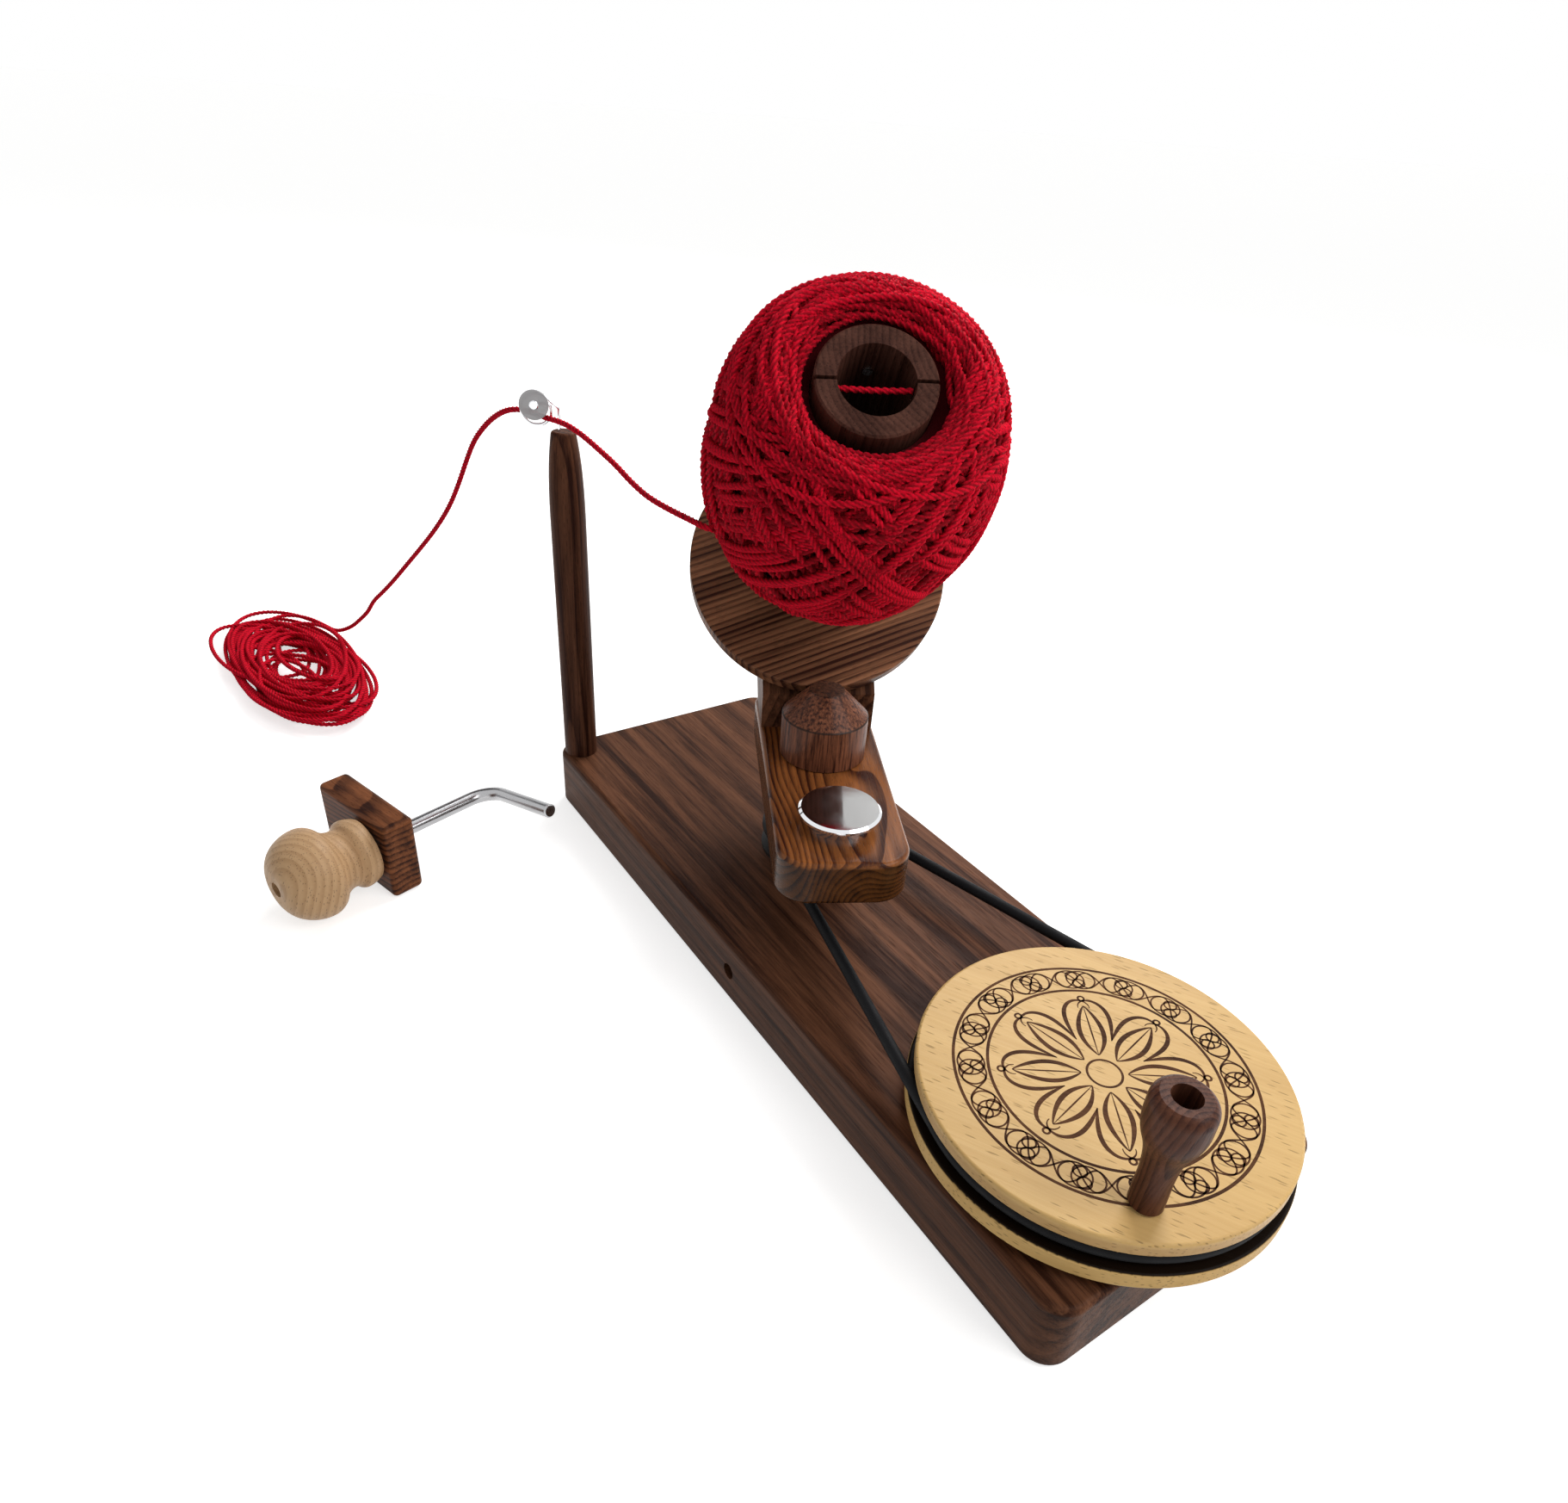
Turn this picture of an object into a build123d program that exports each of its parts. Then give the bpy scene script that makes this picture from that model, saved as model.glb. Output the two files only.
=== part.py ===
# Yarn cone winder: a belt-driven flyer carries a tilted spindle round a fixed cone.
# Millimetres. Origin: centre of the base board's underside. +X towards the crank
# wheel, +Z up, and the long side with the clamp hole faces -Y.
from build123d import *
from math import acos, asin, atan2, ceil, cos, degrees, pi, radians, sin, sqrt, tan
import os

# Base board
base_length = 432
base_width = 150
base_thickness = 36
base_corner_radius = 12
base_edge_radius = 3
clamp_hole_x = -5
clamp_hole_depth = 40

# Clearances
fit_gap = 0.05          # running fit of a bore on its shaft, on the radius
seat_gap = 0.3          # between pieces that only lie beside each other
screw_gap = 0.1         # clearance of a screw or glued dowel in its hole

# Crank wheel
wheel_x = 159
wheel_lift = 3.9        # from the board to the bottom disc
top_disc_radius = 75
top_disc_thickness = 7
bottom_disc_radius = 77
bottom_disc_thickness = 8
groove_width = 7.5
wheel_pitch_radius = 71.5
disc_edge_radius = 1.2
axle_radius = 4
axle_head_radius = 7.5
axle_head_height = 5
axle_head_depth = 8
bearing_outer_radius = 11
bearing_width = 7
ring_thickness = 1
wheel_screw_circle = 40
wheel_screw_radius = 1.8
wheel_screw_count = 6

# Crank handle
handle_circle = 58.3
handle_angle = -34
handle_height = 55
handle_foot_radius = 6.4
handle_neck_radius = 6.9
handle_bulb_radius = 11.6
handle_top_radius = 8.8
handle_bore_radius = 5.35
handle_bore_depth = 32
handle_screw_radius = 2.5

# Drive belt and arm pulley
belt_radius = 2.75
pulley_pitch_radius = 23
pulley_rim_radius = 28
pulley_neck_radius = 17

# Main shaft and fixed cone
shaft_x = -43.5
shaft_radius = 5
shaft_head_radius = 9
shaft_head_height = 6
shaft_head_depth = 9
shaft_nut_flat = 17
shaft_nut_height = 6
shaft_bearing_radius = 13
shaft_bearing_width = 8
washer_thickness = 1.5
cone_radius = 21.5
cone_wall_height = 21.4
cone_height = 35
cone_gap = 0.6

# Flyer
arm_heading = -28
arm_underside = 80.5
arm_thickness = 22.3
arm_half_width = 30.2
arm_front = 95
arm_back = 62
arm_front_radius = 16
arm_edge_radius = 2.5
upright_front = 24.5
upright_thickness = 32
upright_reach = 27
upright_width_inset = 1.0
weight_reach = 64
weight_radius = 19
weight_rim = 3.2
weight_height = 9.2
weight_neck_radius = 13.5

# Tilted spindle, flange disc and core
spindle_tilt = 44
flange_radius = 66.5
flange_thickness = 10
flange_edge_radius = 1
flange_contact = 15.5   # radius on the fixed cone where the disc's front edge runs
flange_gap = 2.5
core_radius = 23.8
core_bore_radius = 15.2
core_length = 160
core_bore_depth = 60
core_slot_width = 1.6
core_slot_depth = 13
spindle_radius = 4
spindle_head_radius = 6.5
spindle_head_height = 5.3
set_screw_depth = 17
set_screw_radius = 2.1

# Yarn
yarn_radius = 1.6
package_start = 34
package_end_gap = 2      # from the package's nose to the end of the core
package_radius = 57
package_nose_radius = 40
package_foot_radius = 33
winding_pitch = 24.8     # height that one outer loop takes
winding_lift = 4.0
hank_center = (-447, -182)
hank_half_length = 106
hank_half_width = 44
hank_turn = 6
hank_loops_per_layer = 2
hank_layers = 4
hank_loop_step = 9
hank_layer_lift = 4.0

# Guide post, wire and disc
post_x = -203.5
post_y = -63.8
post_radius = 9.5
post_tip_radius = 6.6
post_height = 192
post_taper_height = 45
post_socket_depth = 20
wire_radius = 0.8
eye_radius = 7.5
eye_lift = 10.8
eye_side = 12.8
eye_heading = -25
guide_disc_radius = 7.4
guide_disc_thickness = 1.6
guide_disc_side = 13.6
guide_disc_lift = 13.9
guide_disc_front = 5.6
rivet_radius = 2.3

# Clamp, lying beside the base
clamp_rod_radius = 4
clamp_axis_height = 25.2
clamp_start = (-165.8, -243.1)
clamp_heading = 106.8
clamp_bend = 124.9
clamp_leg_length = 58
clamp_leg_lift = 12.4
clamp_bend_radius = 14
clamp_rod_start = 12
clamp_block_height = 46
clamp_block_width = 65
clamp_block_thickness = 18
clamp_block_offset = -12.5
clamp_block_edge = 3
knob_radius = 25
knob_collar_radius = 19.5
knob_neck_radius = 16.5
knob_length = 50
knob_outer_end = -7
knob_bore_radius = 4.2
insert_radius = 6
insert_length = 16

# Worked-out levels
package_length = core_length - package_start - package_end_gap
winding_loops = 2 * max(2, round(package_length / winding_pitch))
board_top = base_thickness
wheel_bottom = board_top + wheel_lift
groove_bottom = wheel_bottom + bottom_disc_thickness
groove_top = groove_bottom + groove_width
wheel_top = groove_top + top_disc_thickness
belt_level = (groove_bottom + groove_top) / 2
arm_top = arm_underside + arm_thickness
cone_bottom = arm_top + cone_gap
cone_edge = cone_bottom + cone_wall_height
cone_top = cone_bottom + cone_height
cone_top_radius = cone_radius - (cone_height - cone_wall_height) * tan(radians(spindle_tilt))
pulley_bottom = board_top + 2 * washer_thickness + shaft_nut_height
spindle_sin = sin(radians(spindle_tilt))
spindle_cos = cos(radians(spindle_tilt))
contact_level = cone_top - (flange_contact - cone_top_radius) / tan(radians(spindle_tilt))
flange_x = -flange_contact - flange_radius * spindle_cos
flange_z = contact_level + flange_radius * spindle_sin + 2 * fit_gap


def cylinder(radius, bottom, top):
    return Pos(0, 0, bottom) * Cylinder(
        radius, top - bottom, align=(Align.CENTER, Align.CENTER, Align.MIN))


def ring(outer, inner, bottom, top):
    return cylinder(outer, bottom, top) - cylinder(inner, bottom - 1, top + 1)


def hexagon(flat, bottom, top):
    outline = RegularPolygon(flat / 2, 6, major_radius=False)
    return Pos(0, 0, bottom) * extrude(outline, top - bottom)


def turned(outline):
    # Revolves a closed (radius, height) wire about Z.
    return revolve(Plane.XZ * make_face(outline), Axis.Z)


def turned_side(stops):
    # Tangent arcs through (radius, height) stops, each with its heading.
    edges = []
    for (low, low_dir), (high, high_dir) in zip(stops, stops[1:]):
        edges += two_arcs(Vector(*low), Vector(*low_dir).normalized(),
                          Vector(*high), Vector(*high_dir).normalized())
    return edges


def flyer(shape):
    # From the arm's own frame, +X along the arm, to its place on the main shaft.
    return Pos(shaft_x, 0, 0) * Rot(0, 0, arm_heading) * shape


def spindle(shape):
    # From the spindle's frame, +Z along the core and 0 at the disc's front face.
    return flyer(Pos(flange_x, 0, flange_z) * Rot(0, spindle_tilt, 0) * shape)


def at_wheel(shape):
    return Pos(wheel_x, 0, 0) * shape


def at_shaft(shape):
    return Pos(shaft_x, 0, 0) * shape


def around(count, radius, shape, start=0.0):
    places = PolarLocations(radius, count, start_angle=start)
    return [place * shape for place in places]


# ---- base, main shaft and axle -------------------------------------------------

def base_board():
    outline = RectangleRounded(base_length, base_width, base_corner_radius)
    board = extrude(outline, base_thickness)
    rims = board.edges().group_by(Axis.Z)
    board = fillet(rims[0] + rims[-1], base_edge_radius)
    board -= at_shaft(cylinder(shaft_radius + screw_gap, -1, board_top + 1))
    board -= at_shaft(cylinder(shaft_head_radius + seat_gap, -1, shaft_head_depth))
    board -= at_wheel(cylinder(axle_radius + screw_gap, -1, board_top + 1))
    board -= at_wheel(cylinder(axle_head_radius + seat_gap, -1, axle_head_depth))
    socket = cylinder(post_radius + screw_gap, board_top - post_socket_depth, board_top + 1)
    board -= Pos(post_x, post_y, 0) * socket
    hole = cylinder(clamp_rod_radius + 2 * screw_gap, 0, clamp_hole_depth + 1)
    mouth = Pos(clamp_hole_x, -base_width / 2 - 1, base_thickness / 2)
    board -= mouth * Rot(-90, 0, 0) * hole
    return board


def main_shaft():
    head = hexagon(2 * shaft_head_radius * cos(pi / 6), shaft_head_depth - shaft_head_height,
                   shaft_head_depth)
    rod = cylinder(shaft_radius, shaft_head_depth - 1, cone_edge)
    rod = chamfer(rod.edges().group_by(Axis.Z)[-1], 1)
    return at_shaft(head + rod)


def shaft_washer():
    inner = shaft_radius + screw_gap
    return at_shaft(ring(2.2 * shaft_radius, inner, board_top, board_top + washer_thickness))


def shaft_nut():
    bottom = board_top + washer_thickness
    nut = hexagon(shaft_nut_flat, bottom, bottom + shaft_nut_height)
    return at_shaft(nut - cylinder(shaft_radius + screw_gap, 0, arm_top))


def shaft_spacer():
    inner = shaft_radius + screw_gap
    bottom = board_top + washer_thickness + shaft_nut_height
    return at_shaft(ring(1.6 * shaft_radius, inner, bottom, pulley_bottom - fit_gap))


def cone_spacer():
    inner = shaft_radius + screw_gap
    return at_shaft(ring(1.6 * shaft_radius, inner, arm_top + fit_gap, cone_bottom))


def sun_cone():
    outline = Polyline((0, cone_bottom), (cone_radius, cone_bottom), (cone_radius, cone_edge),
                       (cone_top_radius, cone_top), (0, cone_top), close=True)
    cone = turned(outline)
    return at_shaft(cone - cylinder(shaft_radius + screw_gap, 0, cone_edge + screw_gap))


def wheel_axle():
    head = cylinder(axle_head_radius, axle_head_depth - axle_head_height, axle_head_depth)
    rod = cylinder(axle_radius, axle_head_depth - 1, groove_top + 2 * ring_thickness)
    return at_wheel(head + rod)


def axle_washer():
    inner = axle_radius + screw_gap
    return at_wheel(ring(1.6 * axle_radius, inner, board_top, wheel_bottom - fit_gap))


def retaining_ring():
    bottom = groove_top - ring_thickness / 2
    clip = ring(1.7 * axle_radius, axle_radius + screw_gap, bottom, bottom + ring_thickness)
    gap = Pos(1.5 * axle_radius, 0, bottom) * Box(2 * axle_radius, axle_radius, 4 * ring_thickness)
    return at_wheel(clip - gap)


# ---- crank wheel ---------------------------------------------------------------

def bearing(outer, bore, width, bottom):
    # Outer and inner race with a shielded middle set back from both faces.
    body = ring(outer, bore, bottom, bottom + width)
    shield = ring(bore + 0.75 * (outer - bore), bore + 0.3 * (outer - bore), 0, 0.5)
    body -= Pos(0, 0, bottom) * shield
    return body - Pos(0, 0, bottom + width - 0.5) * shield


def wheel_pocket():
    # Room inside the wheel for its bearings, the axle and the retaining ring.
    lower = cylinder(bearing_outer_radius + screw_gap, 0, wheel_bottom + bearing_width + screw_gap)
    upper = cylinder(bearing_outer_radius + screw_gap,
                     groove_top - bearing_width - 1.2, groove_top - 0.9)
    end = cylinder(2 * axle_radius + seat_gap, 0, groove_top + 3.2 * ring_thickness)
    return lower + upper + end


def wheel_screw_holes():
    hole = cylinder(wheel_screw_radius + screw_gap, 0, groove_top + top_disc_thickness / 2)
    head = cylinder(2 * wheel_screw_radius + seat_gap, 0, wheel_bottom + 2.5)
    return around(wheel_screw_count, wheel_screw_circle, hole + head, 15)


def wheel_disc(radius, bottom, top):
    disc = cylinder(radius, bottom, top)
    return fillet(disc.edges(), disc_edge_radius)


def wheel_top_disc():
    disc = wheel_disc(top_disc_radius, groove_top, wheel_top) - wheel_pocket()
    disc -= wheel_screw_holes()
    return at_wheel(disc - handle_place(handle_insert_room()))


def wheel_core():
    radius = wheel_pitch_radius - belt_radius - seat_gap
    core = cylinder(radius, groove_bottom, groove_top) - wheel_pocket()
    core -= wheel_screw_holes()
    return at_wheel(core - handle_place(handle_insert_room()))


def wheel_bottom_disc():
    disc = wheel_disc(bottom_disc_radius, wheel_bottom, groove_bottom) - wheel_pocket()
    return at_wheel(disc - wheel_screw_holes())


def wheel_bearings():
    bore = axle_radius + fit_gap
    lower = bearing(bearing_outer_radius, bore, bearing_width, wheel_bottom)
    upper = bearing(bearing_outer_radius, bore, bearing_width, groove_top - bearing_width - 1)
    return at_wheel(Compound([lower, upper]))


def wheel_screws():
    top = groove_top + top_disc_thickness / 2 - screw_gap
    shank = cylinder(wheel_screw_radius, wheel_bottom + 1, top)
    head = cylinder(2 * wheel_screw_radius, wheel_bottom + 0.3, wheel_bottom + 2.4)
    screws = around(wheel_screw_count, wheel_screw_circle, head + shank, 15)
    return at_wheel(Compound(screws))


# ---- crank handle --------------------------------------------------------------

def handle_place(shape):
    angle = radians(handle_angle)
    return Pos(handle_circle * cos(angle), handle_circle * sin(angle), 0) * shape


def handle_insert_room():
    return cylinder(2 * handle_screw_radius + screw_gap, groove_top - 5, wheel_top + 1)


def handle_insert():
    outer = 2 * handle_screw_radius
    sleeve = ring(outer, handle_screw_radius + screw_gap, groove_top - 4.8, wheel_top)
    return at_wheel(handle_place(sleeve))


def handle_washer():
    bore = handle_screw_radius + screw_gap
    washer = ring(2.2 * handle_screw_radius, bore, wheel_top, wheel_top + 0.8)
    return at_wheel(handle_place(washer))


def handle_screw():
    seat = wheel_top + handle_height - handle_bore_depth + 0.2
    shank = cylinder(handle_screw_radius, groove_top - 4.6, seat + 0.5)
    head = cylinder(1.9 * handle_screw_radius, seat, seat + 3.5)
    slot = Pos(0, 0, seat + 3.5) * Box(4 * handle_screw_radius, 0.9, 2)
    return at_wheel(handle_place(head + shank - slot))


def crank_handle():
    foot = wheel_top + 1
    top = wheel_top + handle_height
    side = turned_side([
        ((handle_foot_radius, foot), (0, 1)),
        ((handle_neck_radius, foot + 0.42 * handle_height), (0.12, 1)),
        ((handle_bulb_radius, top - 0.2 * handle_height), (0, 1)),
        ((handle_top_radius, top), (-1, 0.55))])
    outline = Wire([Edge.make_line((0, foot), (handle_foot_radius, foot)), *side,
                    Edge.make_line((handle_top_radius, top), (0, top)),
                    Edge.make_line((0, top), (0, foot))])
    handle = turned(outline)
    handle -= cylinder(handle_bore_radius, top - handle_bore_depth, top + 1)
    handle -= cylinder(handle_screw_radius + fit_gap, foot - 1, top)
    return at_wheel(handle_place(handle))


# ---- drive belt and arm pulley -------------------------------------------------

def drive_belt():
    # Open belt round the wheel and the arm pulley, with tangent straight runs.
    span = wheel_x - shaft_x
    angle = acos((wheel_pitch_radius - pulley_pitch_radius) / span)
    near = (cos(angle), sin(angle))
    wheel_at = (wheel_x - wheel_pitch_radius * near[0], wheel_pitch_radius * near[1])
    pulley_at = (shaft_x - pulley_pitch_radius * near[0], pulley_pitch_radius * near[1])
    wheel_low = (wheel_at[0], -wheel_at[1])
    pulley_low = (pulley_at[0], -pulley_at[1])
    path = Wire([
        Edge.make_line(pulley_at, wheel_at),
        ThreePointArc(wheel_at, (wheel_x + wheel_pitch_radius, 0), wheel_low).edge(),
        Edge.make_line(wheel_low, pulley_low),
        ThreePointArc(pulley_low, (shaft_x - pulley_pitch_radius, 0), pulley_at).edge()])
    section = Plane(path @ 0, z_dir=path % 0) * Circle(belt_radius)
    return Pos(0, 0, belt_level) * sweep(section, path)


def arm_pulley():
    floor = pulley_pitch_radius - belt_radius - seat_gap
    half = belt_radius + seat_gap
    rim_top = 2 * belt_level - pulley_bottom
    slope = pulley_rim_radius - floor - 1
    outline = Polyline(
        (0, pulley_bottom), (pulley_rim_radius, pulley_bottom),
        (pulley_rim_radius, belt_level - half - 0.25 * slope), (floor + 1, belt_level - half),
        (floor, belt_level - half + 1), (floor, belt_level + half - 1),
        (floor + 1, belt_level + half), (pulley_rim_radius, belt_level + half + 0.25 * slope),
        (pulley_rim_radius, rim_top), (pulley_neck_radius, rim_top + 4),
        (pulley_neck_radius, arm_underside), (0, arm_underside), close=True)
    body = turned(outline)
    body -= cylinder(shaft_bearing_radius + screw_gap, 0, pulley_bottom + shaft_bearing_width)
    body -= cylinder(shaft_radius + 1.5, 0, arm_top)
    body -= around(3, pulley_screw_circle(), pulley_screw_room())
    return flyer(body)


def pulley_screw_circle():
    return (pulley_neck_radius + shaft_radius + 1.5) / 2


def pulley_screw_room():
    return cylinder(1.6 + screw_gap, arm_underside - 16, arm_underside + 12)


def pulley_screws():
    # Double-ended screws between the pulley's neck and the arm.
    stud = cylinder(1.6, arm_underside - 15.8, arm_underside + 11.8)
    return flyer(Compound(around(3, pulley_screw_circle(), stud)))


# ---- flyer ---------------------------------------------------------------------

def flyer_arm():
    length = arm_front + arm_back
    middle = (arm_front - arm_back) / 2
    outline = Pos(middle, 0) * Rectangle(length, 2 * arm_half_width)
    corners = outline.vertices().sort_by(Axis.X)
    outline = fillet(corners[2:], arm_front_radius)
    outline = fillet(outline.vertices().sort_by(Axis.X)[:2], arm_front_radius / 2)
    arm = Pos(0, 0, arm_underside) * extrude(outline, arm_thickness)
    rims = arm.edges().group_by(Axis.Z)
    arm = fillet(rims[0] + rims[-1], arm_edge_radius)
    arm -= cylinder(shaft_bearing_radius + screw_gap, arm_top - shaft_bearing_width, arm_top + 1)
    arm -= cylinder(shaft_radius + 1.5, 0, arm_top + 1)
    arm -= around(3, pulley_screw_circle(), pulley_screw_room())
    arm -= Pos(weight_reach, 0, 0) * cylinder(2.5 + screw_gap, 0, arm_top + 1)
    arm -= Pos(weight_reach, 0, 0) * cylinder(5 + seat_gap, 0, arm_underside + 4)
    for place in upright_screw_places():
        arm -= place * cylinder(2 + screw_gap, 0, arm_top + 1)
        arm -= place * cylinder(4 + seat_gap, 0, arm_underside + 4)
    return flyer(arm)


def arm_bearings():
    bore = shaft_radius + fit_gap
    lower = bearing(shaft_bearing_radius, bore, shaft_bearing_width, pulley_bottom)
    upper = bearing(shaft_bearing_radius, bore, shaft_bearing_width,
                    arm_top - shaft_bearing_width)
    return flyer(Compound([lower, upper]))


def slope_point(along, depth):
    # A point in the arm's X-Z plane: along the disc's face and behind it.
    x = flange_x + along * spindle_cos - depth * spindle_sin
    z = flange_z - along * spindle_sin - depth * spindle_cos
    return (x, z)


def upright_outline():
    face = flange_thickness + flange_gap
    back = face + upright_thickness
    along_front = (-upright_front - flange_x + face * spindle_sin) / spindle_cos
    along_foot = (flange_z - arm_top - back * spindle_cos) / spindle_sin
    return [(-upright_front, arm_top), slope_point(along_front, face),
            slope_point(-upright_reach, face), slope_point(-upright_reach, back),
            slope_point(along_foot, back)]


def upright_screw_places():
    points = upright_outline()
    middle = (points[0][0] + points[-1][0]) / 2
    side = arm_half_width - 12
    return [Pos(middle, side, 0), Pos(middle, -side, 0)]


def flyer_upright():
    outline = make_face(Polyline(*upright_outline(), close=True))
    half = arm_half_width - upright_width_inset
    block = extrude(Plane.XZ * outline, half, both=True)
    slopes = block.edges().filter_by(Axis.Y).sort_by(Axis.Z)[-2:]
    block = fillet(slopes, 6)
    back = -flange_thickness - flange_gap - upright_thickness
    hole = cylinder(spindle_radius + screw_gap, back - 1, 0)
    block -= Pos(flange_x, 0, flange_z) * Rot(0, spindle_tilt, 0) * hole
    for place in upright_screw_places():
        block -= place * cylinder(2 + screw_gap, 0, arm_top + 16)
    return flyer(block)


def upright_screws():
    shank = cylinder(2, arm_underside + 1, arm_top + 15.5)
    head = cylinder(4, arm_underside + 1, arm_underside + 3.8)
    return flyer(Compound([place * (head + shank) for place in upright_screw_places()]))


def counterweight():
    rim_bottom = arm_top + weight_height - weight_rim
    top = arm_top + weight_height
    bevel = 1.2
    outline = Polyline(
        (0, arm_top), (weight_neck_radius, arm_top), (weight_neck_radius, rim_bottom),
        (weight_radius - 1, rim_bottom), (weight_radius, rim_bottom + 0.8),
        (weight_radius, top - bevel), (weight_radius - bevel, top), (0, top), close=True)
    weight = turned(outline) - cylinder(2.5 + screw_gap, 0, arm_top + 6)
    return flyer(Pos(weight_reach, 0, 0) * weight)


def counterweight_screw():
    shank = cylinder(2.5, arm_underside + 0.8, arm_top + 5.8)
    head = cylinder(5, arm_underside + 0.8, arm_underside + 3.8)
    return flyer(Pos(weight_reach, 0, 0) * (head + shank))


# ---- spindle, flange disc and core ---------------------------------------------

def upright_back():
    return -flange_thickness - flange_gap - upright_thickness


def spindle_head_seat():
    return core_length - core_bore_depth + 1


def spindle_bolt():
    shank = cylinder(spindle_radius, upright_back() - 10, spindle_head_seat() + 1)
    head = cylinder(spindle_head_radius, spindle_head_seat(),
                    spindle_head_seat() + spindle_head_height)
    key = hexagon(5, spindle_head_seat() + spindle_head_height - 2.5,
                  spindle_head_seat() + spindle_head_height + 1)
    return spindle(head + shank - key)


def spindle_nut():
    top = upright_back() - washer_thickness
    nut = hexagon(13, top - 6.5, top)
    return spindle(nut - cylinder(spindle_radius + screw_gap, top - 10, top + 1))


def spindle_washers():
    bore = spindle_radius + screw_gap
    back = ring(9, bore, upright_back() - washer_thickness, upright_back())
    front = ring(7, bore, -flange_thickness - flange_gap, -flange_thickness - 0.1)
    return spindle(Compound([back, front]))


def flange_screw_places():
    return around(3, (core_radius + bearing_outer_radius) / 2, Pos(0, 0, 0), 30)


def flange_disc():
    disc = cylinder(flange_radius, -flange_thickness, 0)
    disc = fillet(disc.edges(), flange_edge_radius)
    disc -= cylinder(bearing_outer_radius + screw_gap, -flange_thickness - 1,
                     bearing_width - flange_thickness)
    disc -= cylinder(spindle_radius + 1, -flange_thickness - 1, 1)
    for place in flange_screw_places():
        disc -= place * cylinder(1.8 + screw_gap, -flange_thickness - 1, 1)
        disc -= place * cylinder(3.6 + seat_gap, -flange_thickness - 1, -flange_thickness + 2.6)
    return spindle(disc)


def flange_screws():
    shank = cylinder(1.8, -flange_thickness + 0.4, 20)
    head = cylinder(3.6, -flange_thickness + 0.4, -flange_thickness + 2.4)
    return spindle(Compound([place * (head + shank) for place in flange_screw_places()]))


def core_tube():
    bore_floor = core_length - core_bore_depth
    tube = cylinder(core_radius, 0, core_length)
    tube = chamfer(tube.edges().group_by(Axis.Z)[-1], 0.8)
    tube -= cylinder(core_bore_radius, bore_floor, core_length + 1)
    tube -= cylinder(bearing_outer_radius + screw_gap, bore_floor - bearing_width, core_length)
    tube -= cylinder(spindle_radius + 1, -1, core_length)
    slot = Pos(0, 0, core_length - core_slot_depth / 2 + 0.5)
    tube -= slot * Box(core_slot_width, 3 * core_radius, core_slot_depth + 1)
    for place in flange_screw_places():
        tube -= place * cylinder(1.8 + screw_gap, -1, 20.5)
    tube -= set_screw_place() * cylinder(set_screw_radius + screw_gap, -1, core_radius)
    return spindle(tube)


def set_screw_place():
    # Out along -X of the spindle's frame, starting inside the bore.
    return Pos(-core_bore_radius, 0, core_length - set_screw_depth) * Rot(0, -90, 0)


def core_set_screw():
    body = cylinder(set_screw_radius, -0.6, core_radius - core_bore_radius - 1)
    body -= hexagon(2, -1, 1)
    return spindle(set_screw_place() * body)


def core_bearings():
    bore = spindle_radius + fit_gap
    lower = bearing(bearing_outer_radius, bore, bearing_width, -flange_thickness)
    upper = bearing(bearing_outer_radius, bore, bearing_width,
                    core_length - core_bore_depth - bearing_width)
    return spindle(Compound([lower, upper]))


# ---- yarn ----------------------------------------------------------------------

def package_profile(share):
    # Radius of the package's plain core, from its foot (0) to its nose (1).
    swell = sin(pi * min(max(0.04 + 0.9 * share, 0.0), 1.0)) ** 0.5
    ends = package_foot_radius + (package_nose_radius - package_foot_radius) * share
    return ends + (package_radius - ends) * swell


def yarn_package():
    def point(share):
        return (package_profile(share), package_start + package_length * share)

    def lean(share):
        low, high = point(max(share - 0.005, 0)), point(min(share + 0.005, 1))
        return (high[0] - low[0], high[1] - low[1])

    shares = [0, 0.12, 0.35, 0.65, 0.88, 1]
    side = turned_side([(point(share), lean(share)) for share in shares])
    inner = core_radius + seat_gap
    foot = (inner, package_start - 3)
    nose = (inner, package_start + package_length - 12)
    outline = Wire([Edge.make_line(foot, point(0)), *side,
                    Edge.make_line(point(1), nose), Edge.make_line(nose, foot)])
    return spindle(turned(outline))


def two_arcs(start, start_dir, end, end_dir):
    # Two tangent arcs from one point and heading to another.
    gap = end - start
    both = start_dir + end_dir
    spread = 2 * (1 - start_dir.dot(end_dir))
    across = gap.dot(both)
    if spread < 1e-9:
        reach = gap.dot(gap) / (2 * across)
    else:
        reach = (-across + sqrt(across ** 2 + spread * gap.dot(gap))) / spread
    first = start + start_dir * reach
    second = end - end_dir * reach
    middle = (first + second) / 2
    turn = (second - first).normalized()
    return [TangentArc(start, middle, tangent=start_dir).edge(),
            TangentArc(middle, end, tangent=turn).edge()]


def heading(place, turns, nudge=1e-4):
    return (place(turns + nudge) - place(turns - nudge)).normalized()


def route_of(place, stops):
    # Arcs through place(t) at each stop, and a straight lead of one diameter at each end.
    lead = 2 * yarn_radius
    first, last = stops[0], stops[-1]
    edges = [Edge.make_line(place(first) - heading(place, first) * lead, place(first))]
    for low, high in zip(stops, stops[1:]):
        edges += two_arcs(place(low), heading(place, low), place(high), heading(place, high))
    end = place(last)
    edges.append(Edge.make_line(end, end + heading(place, last) * lead))
    return edges


def yarn_tube(edges, radius=yarn_radius, sides=6):
    path = Wire(edges)
    face = Plane(path @ 0, z_dir=path % 0) * RegularPolygon(radius, sides)
    tube = sweep(face, path)
    share = tube.volume / (face.area * path.length)
    print(f"  tube length {path.length:.1f} mm, volume against section x length {share:.3f}")
    return tube


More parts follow.
